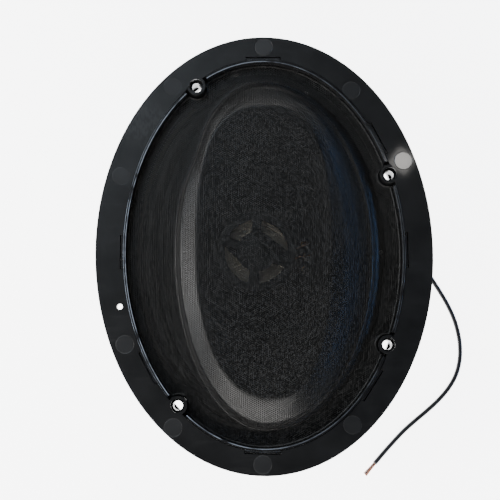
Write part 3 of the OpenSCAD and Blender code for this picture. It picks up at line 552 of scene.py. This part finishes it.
def rounded_copy(node, name, width, segments=2):
    """A copy of a CAD node's mesh with its flat faces rejoined and its edges rounded."""
    mesh = NODES[node].data.copy()
    shape = bmesh.new()
    shape.from_mesh(mesh)
    bmesh.ops.remove_doubles(shape, verts=shape.verts, dist=2e-6)
    bmesh.ops.dissolve_limit(shape, angle_limit=math.radians(0.4), verts=shape.verts, edges=shape.edges)
    shape.to_mesh(mesh)
    shape.free()
    mesh.polygons.foreach_set("use_smooth", np.ones(len(mesh.polygons), bool))
    mesh.set_sharp_from_angle(angle=SHARP_ANGLE)
    piece = bpy.data.objects.new(name, mesh)
    bpy.context.scene.collection.objects.link(piece)
    edges = piece.modifiers.new("rounding", "BEVEL")
    edges.width = width * MM
    edges.segments = segments
    edges.limit_method = "ANGLE"
    edges.angle_limit = SHARP_ANGLE
    edges.use_clamp_overlap = True
    edges.harden_normals = True
    edges.miter_outer = "MITER_ARC"
    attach(piece, "chassis")
    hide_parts(node)
    slot = next(r["material_slot"] for r in record["subparts"] if r["node"] == node)
    dress(piece, FINISHES[slot])
    return piece


# Node, its rounded copy's name, the rounding in millimetres and its segments
ROUNDED = [
    ("mounting_ring", "flange_moulding", 0.5, 3),
    ("grille_frame", "grille_frame_moulding", 0.45, 3),
    ("basket", "basket_pressing", 0.3, 2),
    ("tweeter_cover", "tweeter_cover_moulding", 0.4, 2),
    ("tweeter_housing", "tweeter_housing_moulding", 0.4, 2),
    ("tweeter_post", "tweeter_post_moulding", 0.3, 2),
    ("magnet_cover", "magnet_boot", 0.7, 3),
    ("magnet", "ferrite_ring", 0.5, 2),
    ("top_plate", "top_plate_turning", 0.4, 2),
    ("rear_yoke", "rear_yoke_forging", 0.5, 2),
    ("tweeter_bolt", "tweeter_bolt_head", 0.2, 2),
    ("basket_screws", "cross_slot_screws", 0.15, 2),
    ("basket_rivets", "basket_rivet_heads", 0.2, 2),
    ("terminal_board", "terminal_strip", 0.15, 2),
    ("terminal_rivets", "terminal_rivet_heads", 0.2, 2),
    ("terminal_lugs", "terminal_blades", 0.1, 2),
    ("surround_gasket", "surround_board_ring", 0.3, 2),
    ("grille_gasket", "grille_foam_strips", 0.6, 3),
    ("capacitor", "capacitor_can", 0.5, 3),
    ("capacitor_glue", "capacitor_hot_glue", 0.7, 3),
    ("lead_grommet", "lead_strain_relief", 0.3, 2),
]
for node, name, width, segments in ROUNDED:
    rounded_copy(node, name, width, segments)

# ---------------------------------------------------------------- cone, suspension and inner wiring

RING_COLUMNS, SMALL_COLUMNS = 180, 120
EDGE_Z, CONE_T = 66.0, 0.7
NECK_R = 12.65
MOUTH_A, MOUTH_B, LIP_W = 49.9, 79.7, 2.2
ROLL_A, ROLL_B, ROLL_HALF = 56.3, 86.1, 4.2
SPIDER_T, SPIDER_R0, SPIDER_R1, SPIDER_WAVES, SPIDER_WAVE_H = 0.6, 15.2, 42.0, 6, 1.4
FELT_TOP, FELT_REAR = 46.2, 44.2


def oval_ring(name, body, slot, node, half_widths, half_lengths, heights, columns=RING_COLUMNS, poles=False):
    """Ring about the driver's axis: each row of its section is an oval of two half sizes at one height.

    The section runs outwards over the top and back underneath; with poles, it starts and ends on the axis."""
    a, b, z = (np.asarray(v, float) for v in (half_widths, half_lengths, heights))
    turn = np.linspace(0, 2 * np.pi, columns, endpoint=False)
    x = DRIVER_X + a[:, None] * np.cos(turn)
    points = np.stack([x, b[:, None] * np.sin(turn), np.broadcast_to(z[:, None], x.shape)], 2)
    piece = add_piece(name, points, grid_faces(len(a), columns, ring=not poles, closed=True))
    if poles:
        shape = bmesh.new()
        shape.from_mesh(piece.data)
        bmesh.ops.remove_doubles(shape, verts=shape.verts, dist=1e-7)
        shape.to_mesh(piece.data)
        shape.free()
        piece.data.polygons.foreach_set("use_smooth", np.ones(len(piece.data.polygons), bool))
    piece.data.set_sharp_from_angle(angle=math.radians(50))
    if body:
        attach(piece, body)
    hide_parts(node)
    dress(piece, FINISHES[slot])
    return piece


def blend_by_share(piece, share, columns):
    """Takes a share for each row, 0 on the still body and 1 on the moving one, but does not bend the ring:
    its points are put on a line, each at its share, the object's transform is baked into the mesh, and the
    points are put back."""
    share = np.repeat(np.clip(share, 0, 1), columns)
    places = np.empty(len(share) * 3, np.float32)
    piece.data.vertices.foreach_get("co", places)
    line = np.zeros((len(share), 3), np.float32)
    line[:, 0] = share
    piece.data.vertices.foreach_set("co", line.ravel())
    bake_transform(piece)
    piece.data.vertices.foreach_set("co", places)
    piece.data.update()


def there_and_back(front, rear):
    """A section's values along its front, then along its rear the other way."""
    return np.concatenate([front, np.asarray(rear)[::-1]])


def paper_cone():
    """Oval paper cone: half sizes grow evenly with the share s, height with s to the 0.9, and seven rings are
    pressed into it as narrow bell curves."""
    s = np.linspace(0, 1, 91)
    ribs = 0.4 * np.exp(-(((s[:, None] - np.linspace(0.32, 0.92, 7)) / 0.014) ** 2)).sum(1)
    z = Z_NECK + (EDGE_Z - Z_NECK) * s**0.9 + ribs
    a = np.append(NECK_R + (MOUTH_A - NECK_R) * s, MOUTH_A + LIP_W)
    b = np.append(NECK_R + (MOUTH_B - NECK_R) * s, MOUTH_B + LIP_W)
    front, rear = np.append(z + CONE_T, EDGE_Z + CONE_T), np.append(z, EDGE_Z)
    return oval_ring("cone_shell", "cone_assembly", "cone_paper", "cone", there_and_back(a, a),
                     there_and_back(b, b), there_and_back(front, rear))


def rubber_surround():
    """Half-round roll between the basket's mouth and the cone's edge, with a flat flange and an inner lip.

    The roll's height is a sine of the angle across it, faired into its two flats."""
    turn = np.linspace(np.pi, 0, 25)
    across = np.concatenate([[-6.4, -5.6, -4.7], 4.0 * np.cos(turn), [4.5, 5.4, 6.7]])
    top = np.concatenate([[0.6, 0.6, 0.62], 0.6 + 4.4 * np.sin(turn), [0.62, 0.6, 0.6]])
    under_across = np.concatenate([[-6.4, -5.6, -4.3], 3.4 * np.cos(turn), [4.3, 5.4, 6.7]])
    under = np.concatenate([[0, 0, 0], 4.35 * np.sin(turn), [0, 0, 0]])
    d = there_and_back(across, under_across)
    z = Z_SEAT + there_and_back(top, under)
    piece = oval_ring("surround_roll", None, "surround_rubber", "surround", ROLL_A + d, ROLL_B + d, z)
    blend_by_share(piece, (ROLL_HALF - d) / (2 * ROLL_HALF), RING_COLUMNS)
    return piece


def cloth_spider():
    """Corrugated cloth disc: six waves, a sine of the radius, that fade at the neck and the rim."""
    r = np.concatenate([[12.8, 13.6], np.linspace(SPIDER_R0, SPIDER_R1, 109), [43.5, 47.0, 53.5]])
    share = (r - SPIDER_R0) / (SPIDER_R1 - SPIDER_R0)
    wave = SPIDER_WAVE_H * np.sin(2 * np.pi * SPIDER_WAVES * share)
    wave = np.where((share >= 0) & (share <= 1), wave, 0)
    radii = there_and_back(r, r)
    z = Z_SHELF + there_and_back(wave + SPIDER_T, wave)
    piece = oval_ring("spider_disc", None, "spider_cloth", "spider", radii, radii, z)
    bend = (SPIDER_R1 - radii) / (SPIDER_R1 - SPIDER_R0)
    blend_by_share(piece, bend, RING_COLUMNS)
    return piece


def felt_ring():
    """Thick felt washer on the former: its top bulges and its two edges fall away as quarter rounds."""
    r = np.array([5.6, 5.65, 5.9, 6.4, 8.0, 10.0, 11.6, 12.1, 12.35, 12.45])
    z = FELT_TOP - np.array([0.7, 0.4, 0.15, 0.0, -0.1, -0.1, 0.0, 0.15, 0.4, 0.7])
    radii = there_and_back(r, r)
    return oval_ring("felt_dust_ring", "cone_assembly", "felt", "dust_felt", radii, radii,
                     there_and_back(z, np.full(len(r), FELT_REAR)), columns=SMALL_COLUMNS)


DOME_R, RIPPLE_R, RIM_R = 9.2, 9.6, 16.5
DOME_Z, DOME_RISE, RIM_RISE, FILM_T = 73.4, 1.8, 1.3, 0.3
ROLL_IN, ROLL_OUT, TWEETER_EDGE_Z = 16.7, 17.6, 74.6


def tweeter_cone():
    """Tweeter diaphragm: a paraboloid dome, a groove over the coil, a straight cone with six fine ripples."""
    inner, outer = np.linspace(0, DOME_R, 24), np.linspace(RIPPLE_R, RIM_R, 49)
    dome = DOME_Z + DOME_RISE * (1 - (inner / DOME_R) ** 2)
    share = (outer - RIPPLE_R) / (RIM_R - RIPPLE_R)
    slope = DOME_Z + RIM_RISE * share + 0.09 * np.sin(share * 2 * np.pi * 6)
    r, z = np.concatenate([inner, outer]), np.concatenate([dome, slope])
    radii = there_and_back(r, r)
    return oval_ring("tweeter_cone", "tweeter_moving", "diaphragm_film", "tweeter_diaphragm", radii, radii,
                     there_and_back(z + FILM_T, z), columns=SMALL_COLUMNS, poles=True)


def tweeter_edge():
    """Cloth ring round the tweeter's diaphragm, with one low half-round roll."""
    r = np.concatenate([[16.5, 16.6], np.linspace(ROLL_IN, ROLL_OUT, 13), [17.9, 18.75]])
    roll = np.concatenate([[0, 0], 0.35 * np.sin(np.linspace(0, np.pi, 13)), [0, 0]])
    radii = there_and_back(r, r)
    z = TWEETER_EDGE_Z + there_and_back(roll + 0.25, roll)
    piece = oval_ring("tweeter_edge_roll", None, "diaphragm_cloth", "tweeter_surround", radii, radii, z,
                      columns=SMALL_COLUMNS)
    bend = (ROLL_OUT - radii) / (ROLL_OUT - ROLL_IN)
    blend_by_share(piece, bend, SMALL_COLUMNS)
    return piece


paper_cone()
rubber_surround()
cloth_spider()
felt_ring()
tweeter_cone()
tweeter_edge()

EYELET_R = 27
EYELETS = [(DRIVER_X + EYELET_R * math.cos(math.radians(a)), EYELET_R * math.sin(math.radians(a)))
           for a in (-15, 0, 15)]
LUG_Y = (-9.5, -3.5, 2.5)
LUG_X, LUG_Z, EYELET_Z = 51.6, 45.7, 51.39
HOUSING_Z = 69.2


def tinsel_route(k):
    """From a lug, sagging under the cone by a sine, to the underside of its eyelet."""
    (ex, ey), y = EYELETS[k], LUG_Y[k]
    s = np.array([0.3, 0.5, 0.7, 0.85])
    run = np.stack([LUG_X - (LUG_X - ex) * s, y + (ey - y) * s,
                    LUG_Z - 1 - 1.2 * np.sin(np.pi * s) + 5 * s * s], 1)
    return np.concatenate([[(LUG_X, y, LUG_Z), (LUG_X - 3, y, LUG_Z - 0.6)], run,
                           [(ex, ey, EYELET_Z - 1.2), (ex, ey, EYELET_Z)]])


def between(a, b, share):
    """The number a share of the way from a to b."""
    return a + (b - a) * share


def tweeter_route(k):
    """From an eyelet's top, bowed outwards, to the side of the tweeter's housing."""
    (ex, ey), y = EYELETS[k + 1], (-2.4, 2.4)[k]
    low, high = EYELET_Z + 2.8, HOUSING_Z
    return [(ex, ey, low), (ex, ey, low + 1.6), (ex + 1.2, ey, between(low, high, 0.3)),
            (ex + 1.8, between(ey, y, 0.2), between(low, high, 0.55)),
            (ex + 0.4, between(ey, y, 0.5), between(low, high, 0.8)),
            (DRIVER_X + 23, between(ey, y, 0.8), high - 0.6),
            (DRIVER_X + 21.2, y, high), (DRIVER_X + 19.2, y, high)]


def braided_leads(name, node, routes, radius):
    """Braided leads, each a tube along a smooth curve through its route, running between the basket and the
    cone.
    """
    piece = add_bundle(name, [smooth_path(route, 8) for route in routes], radius, 10, (0.2, 1.0, 0.1))
    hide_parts(node)
    dress(piece, FINISHES["braid"])
    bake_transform(piece)
    return piece


braided_leads("tinsel_braids", "tinsel_leads", [tinsel_route(k) for k in range(3)], 0.6)
braided_leads("tweeter_braids", "tweeter_leads", [tweeter_route(k) for k in range(2)], 0.4)


DAB_ROWS, DAB_COLUMNS = 9, 40


def cement_dab(name, x, y):
    """Lens of cement over an eyelet on the cone's slope: its rise falls off as one minus the square of the
    distance, and its outline wavers by a few sines of the angle."""
    turn = np.linspace(0, 2 * np.pi, DAB_COLUMNS, endpoint=False)
    share, turn = np.meshgrid(np.linspace(0, 1, DAB_ROWS), turn, indexing="ij")
    r = share * (3.4 + 0.3 * np.sin(3 * turn + x) + 0.2 * np.sin(5 * turn + y))
    px, py = x + r * np.cos(turn), y + r * np.sin(turn)
    slope = EYELET_Z + 1.3 + 0.6 * (np.hypot(px - DRIVER_X, py) - EYELET_R)
    top = slope + 1.9 * (1 - share**2)
    points = np.concatenate([np.stack([px, py, top], 2), np.stack([px, py, slope - 0.5], 2)[::-1]])
    piece = add_piece(name, points, grid_faces(2 * DAB_ROWS, DAB_COLUMNS, closed=True))
    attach(piece, "cone_assembly")
    dress(piece, FINISHES["cone_cement"])
    return piece


for k, (x, y) in enumerate(EYELETS):
    cement_dab(f"eyelet_cement_{k + 1}", x, y)

# ---------------------------------------------------------------- perforated grille

SHEET_HW, SHEET_HL = 71.6, 100.6
BAY_R = 5.55
BOSS_HW, BOSS_HL = 72.0, 101.0
BOSSES = [(BOSS_HW * math.cos(math.radians(a)), BOSS_HL * math.sin(math.radians(a)))
          for a in (23.3, 119, 231.3, 331)]
DOME_H, LEDGE_H = 12.0, 5.0
PITCH, HOLE_R, RIM_SHARE, RIM_DEPTH = 1.1, 0.43, 0.88, 0.22
CELL_COLUMNS, CELL_ROWS = 90, 112
RAYS, RAY_STEP, PLAN_R, BLANK_R = 720, 0.25, 112, 118
TURN = np.radians(np.arange(0, 360, 0.25))


def outline(x, y):
    """Angle and radius tables of a closed curve about the grille's centre."""
    angle = np.mod(np.arctan2(y, x), 2 * np.pi)
    order = np.argsort(angle)
    return angle[order], np.hypot(x, y)[order]


def at_angle(table, angle):
    return np.interp(np.mod(angle, 2 * np.pi), table[0], table[1], period=2 * np.pi)


def dome_tables():
    """Foot, ridge and top outlines, and the share by which the right-hand ledge counts at each angle.

    The foot and the ridge are half ovals left and right, with a dent at 144 degrees. The top is a blunt
    oval."""
    c, s = np.cos(TURN), np.sin(TURN)
    right = c > 0
    dent = 1 - 0.045 * np.exp(-(((np.degrees(TURN) - 144) / 11) ** 2))
    foot = outline(np.where(right, 62.7, 46.5) * c * dent, 91.5 * s * dent)
    ridge = outline(np.where(right, 56.0, 45.9) * c * dent, 90.3 * s * dent)
    blunt = np.where(s > 0, 2.8, 2.3)
    shift = np.where(s < 0, 3.5, 1.5) * s**4
    top_x = 34.5 * np.sign(c) * np.abs(c) ** (2 / blunt) + shift
    top = outline(top_x, 75.3 * np.sign(s) * np.abs(s) ** (2 / blunt))
    half = np.maximum(0, c * 0.5 + 0.5)
    share = (TURN, half**2 * (3 - 2 * half))
    return foot, ridge, top, share


FOOT, RIDGE, TOP, SHARE = dome_tables()


def eased(marks, heights, soft):
    """Table of a run of straight slopes whose corners are rounded by averaging over a soft width."""
    s = np.linspace(-0.3, 1.3, 641)
    raw = np.interp(s, marks, heights)
    k = np.exp(-0.5 * (np.arange(-40, 41) * (s[1] - s[0]) / soft) ** 2)
    padded = np.concatenate([np.full(40, raw[0]), raw, np.full(40, raw[-1])])
    return s, np.convolve(padded, k / k.sum(), "valid")


STEEP = eased([0, 0.15, 0.9, 1.0], [0, 0.56, 0.985, 1.0], 0.05)
GENTLE = eased([0, 0.3, 0.7, 1.0], [0, 0.24, 0.74, 1.0], 0.03)
LEDGE = eased([0, 1.0], [0, 1.0], 0.07)


def sheet_height(x, y):
    """Height of the grille over its margin: a ledge on the right, the dome's slope, then its flat top."""
    angle, radius = np.arctan2(y, x), np.hypot(x, y)
    foot, ridge, top = (at_angle(t, angle) for t in (FOOT, RIDGE, TOP))
    share = at_angle(SHARE, angle)
    ledge = LEDGE_H * share * np.interp((foot - radius) / (foot - ridge), *LEDGE)
    s = (ridge - radius) / (ridge - top)
    slope = np.interp(s, *STEEP) * (1 - share) + np.interp(s, *GENTLE) * share
    bead = 0.7 * share * np.exp(-(((radius - ridge) / 1.5) ** 2))
    return ledge + (DOME_H - LEDGE_H * share) * slope + bead


def sheet_edge(angle):
    """Radius of the sheet's edge: its oval, or the bay round a screw boss."""
    c, s = np.cos(angle), np.sin(angle)
    edge = 1 / np.sqrt((c / SHEET_HW) ** 2 + (s / SHEET_HL) ** 2)
    for bx, by in BOSSES:
        along = bx * c + by * s
        room = along**2 - (bx * bx + by * by - BAY_R**2)
        near = along - np.sqrt(np.maximum(room, 0))
        edge = np.where((room > 0) & (along > 0), np.minimum(edge, near), edge)
    return edge


def drawn_radius_table(share=0.6):
    """How far from the centre a point of the flat blank ends up once the dome is drawn: a row for each ray.

    Along each ray the blank's radius is the plan radius plus a share of the length that the slope adds."""
    angles = np.linspace(0, 2 * np.pi, RAYS + 1)
    plan = np.arange(0, PLAN_R, RAY_STEP)
    a, r = np.meshgrid(angles, plan, indexing="ij")
    z = sheet_height(r * np.cos(a), r * np.sin(a))
    run = np.hypot(RAY_STEP, np.diff(z, axis=1))
    length = np.concatenate([np.zeros((len(angles), 1)), np.cumsum(run, axis=1)], 1)
    blank = plan + share * (length - plan)
    even = np.arange(0, BLANK_R, RAY_STEP)
    return np.stack([np.interp(even, row, plan) for row in blank])


DRAWN = drawn_radius_table()


def drawn(u, v):
    """Plan place of the blank's point (u, v), by interpolation in the table of drawn radii."""
    angle, radius = np.mod(np.arctan2(v, u), 2 * np.pi), np.hypot(u, v)
    i = angle / (2 * np.pi) * RAYS
    j = np.minimum(radius / RAY_STEP, DRAWN.shape[1] - 2.001)
    i0, j0 = np.floor(i).astype(int) % RAYS, np.floor(j).astype(int)
    di, dj = i - np.floor(i), j - j0
    r = ((DRAWN[i0, j0] * (1 - dj) + DRAWN[i0, j0 + 1] * dj) * (1 - di)
         + (DRAWN[i0 + 1, j0] * (1 - dj) + DRAWN[i0 + 1, j0 + 1] * dj) * di)
    r = np.minimum(r, sheet_edge(angle))
    return r * np.cos(angle), r * np.sin(angle)


def sheet_points(u, v, sunk=0.0):
    """Points of the sheet's front face, moved in along its normal by sunk."""
    x, y = drawn(u, v)
    z = sheet_height(x, y)
    if sunk == 0.0:
        return np.stack([x, y, Z_SHEET + z], 1)
    step = 0.05
    gx = (sheet_height(x + step, y) - z) / step
    gy = (sheet_height(x, y + step) - z) / step
    n = np.stack([-gx, -gy, np.ones_like(gx)], 1)
    n /= np.linalg.norm(n, axis=1, keepdims=True)
    return np.stack([x, y, Z_SHEET + z], 1) - sunk * n


def perforated_strip(name, low, high):
    """Part of the grille between two blank heights: six-sided cells, each with a hole whose rim rolls in."""
    columns = np.arange(-CELL_COLUMNS, CELL_COLUMNS + 1)
    rows = np.arange(-CELL_ROWS, CELL_ROWS + 1)
    i, j = (a.ravel() for a in np.meshgrid(columns, rows, indexing="ij"))
    cu = i * PITCH * math.sqrt(3) / 2
    cv = (j + 0.5 * (i % 2)) * PITCH
    x, y = drawn(cu, cv)
    inside = (np.hypot(x, y) < sheet_edge(np.arctan2(y, x)) - 0.12) & (cv >= low) & (cv < high)
    cu, cv = cu[inside], cv[inside]
    corner = np.radians(np.arange(0, 360, 60))
    outer = PITCH / math.sqrt(3)
    ou = cu[:, None] + outer * np.cos(corner)
    ov = cv[:, None] + outer * np.sin(corner)
    keys = np.round(np.stack([ou.ravel(), ov.ravel()], 1) / (PITCH / 12)).astype(np.int64)
    _, first, back = np.unique(keys[:, 0] * 100003 + keys[:, 1], return_index=True, return_inverse=True)
    outer_points = sheet_points(ou.ravel()[first], ov.ravel()[first])
    hu = (cu[:, None] + HOLE_R * np.cos(corner)).ravel()
    hv = (cv[:, None] + HOLE_R * np.sin(corner)).ravel()
    ru = (cu[:, None] + HOLE_R * RIM_SHARE * np.cos(corner)).ravel()
    rv = (cv[:, None] + HOLE_R * RIM_SHARE * np.sin(corner)).ravel()
    hole_points = sheet_points(hu, hv)
    rim_points = sheet_points(ru, rv, RIM_DEPTH)
    n = len(cu)
    o = back.reshape(n, 6)
    h = len(outer_points) + np.arange(n * 6).reshape(n, 6)
    r = h + n * 6
    o2, h2, r2 = (np.roll(corners, -1, axis=1) for corners in (o, h, r))
    webs, walls = np.stack([o, o2, h2, h], 2), np.stack([h, h2, r2, r], 2)
    faces = np.concatenate([webs.reshape(-1, 4), walls.reshape(-1, 4)])
    piece = add_piece(name, np.concatenate([outer_points, hole_points, rim_points]), faces)
    ends = np.empty(len(piece.data.edges) * 2, np.int32)
    piece.data.edges.foreach_get("vertices", ends)
    ends = ends.reshape(-1, 2)
    on_hole = (ends >= len(outer_points)) & (ends < len(outer_points) + n * 6)
    piece.data.edges.foreach_set("use_edge_sharp", on_hole.all(axis=1))
    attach(piece, "chassis")
    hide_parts("grille_sheet")
    return piece


def mesh_paint():
    """Satin black paint on the perforated steel, uneven in upright flecks and broad clouds."""
    f = Finish("mesh_steel")
    at = f.here()
    clouds = f.noise(at, 16.0, 4.0)
    flecks = f.noise(f.stretched(at, (1.0, 0.45, 1.0)), 0.6, 1.0, 0.5)
    sharp = flecks.above(0.54, 0.22)
    fine = f.noise(at, 0.3, 2.0)
    f.set(base_color=f.mixed(sharp * 0.75 + clouds * 0.25, (0.001, 0.001, 0.001), (0.022, 0.022, 0.0216)),
          roughness=0.30 + 0.06 * clouds + 0.24 * sharp)
    return f.relief(flecks * 0.85 + fine * 0.15, 0.04)


MESH_PAINT = mesh_paint()
MESH_SPLITS = [("grille_mesh_lower", -200, -33), ("grille_mesh_middle", -33, 33),
               ("grille_mesh_upper", 33, 200)]
for name, low, high in MESH_SPLITS:
    dress(perforated_strip(name, low, high), MESH_PAINT)


def sheet_rim():
    """Plain unpierced edge of the grille: a band 0.9 mm wide along its outline, rolled under at its edge."""
    turn = np.radians(np.arange(0, 360, 0.5))
    edge = sheet_edge(turn)
    inward = np.array([0.95, 0.9, 0.5, 0.2, 0.03, 0.0, 0.0, 0.15, 0.9])
    height = np.array([-0.1, 0.05, 0.06, 0.06, 0.05, -0.05, -0.5, -0.7, -0.75])
    r = edge[None, :] - inward[:, None]
    z = np.broadcast_to(Z_SHEET + height[:, None], r.shape)
    points = np.stack([r * np.cos(turn), r * np.sin(turn), z], 2)
    faces = grid_faces(len(inward), len(turn), ring=True, closed=True)[:, ::-1]
    piece = add_piece("grille_rim", points[::-1], faces)
    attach(piece, "chassis")
    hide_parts("grille_sheet")
    dress(piece, MESH_PAINT)
    return piece


sheet_rim()

# ---------------------------------------------------------------- surroundings

FLOOR_HALF = 1500
FLOOR_CORNERS = [(x * FLOOR_HALF, y * FLOOR_HALF, 0) for x, y in ((-1, -1), (1, -1), (1, 1), (-1, 1))]
floor = add_piece("floor", FLOOR_CORNERS, [(0, 1, 2, 3)])
paper_floor = Finish("floor_paper", roughness=0.6, emission_strength=6.0)
at = paper_floor.here()
paper_shade = paper_floor.mixed(paper_floor.noise(at, 40.0), (0.86, 0.86, 0.86), (0.9, 0.9, 0.9))
paper_floor.set(base_color=paper_shade, emission_color=(1.0, 1.0, 1.0))
dress(floor, paper_floor)


def soft_light(name, place, aim, size, watts, colour=(1, 1, 1)):
    """Rectangular soft light at a place, facing a point, both in metres."""
    data = bpy.data.lights.new(name, "AREA")
    data.shape = "RECTANGLE"
    data.size, data.size_y = size
    data.energy = watts
    data.color = colour
    light = bpy.data.objects.new(name, data)
    bpy.context.scene.collection.objects.link(light)
    light.location = place
    light.rotation_euler = (Vector(aim) - Vector(place)).to_track_quat("-Z", "Y").to_euler()
    return light


soft_light("top_left_panel", (-0.5, 0.62, 1.1), (0, 0, 0.08), (0.5, 0.5), 5.0, (0.78, 0.89, 1.0))
soft_light("left_softbox", (-0.9, 0.0, 0.62), (0, 0, 0.08), (0.3, 0.9), 7, (1.0, 0.98, 0.95))
soft_light("lower_left_softbox", (-0.65, -0.75, 0.62), (0, 0, 0.08), (0.6, 0.4), 8, (1.0, 0.98, 0.95))
soft_light("front_softbox", (0.0, -0.95, 0.62), (0, 0, 0.08), (0.8, 0.4), 10, (1.0, 0.98, 0.95))
soft_light("back_softbox", (0.0, 0.95, 0.7), (0, 0, 0.08), (0.8, 0.4), 3.5, (1.0, 0.99, 0.97))
soft_light("right_window", (1.1, 0.1, 0.36), (0, 0, 0.08), (0.9, 0.1), 5.6, (0.2, 0.46, 1.0))
soft_light("left_strip", (-1.0, 0.15, 0.3), (0, 0, 0.08), (1.4, 0.05), 5.0, (0.9, 0.95, 1.0))
soft_light("corner_spot", (0.253, 0.294, 1.24), (0.073, 0.045, 0.08), (0.035, 0.035), 0.055,
           (1.0, 0.97, 0.92))

world = bpy.data.worlds.new("studio")
world.use_nodes = True
background = world.node_tree.nodes["Background"]
background.inputs["Color"].default_value = (0.75, 0.78, 0.82, 1.0)
background.inputs["Strength"].default_value = 0.03
bpy.context.scene.world = world
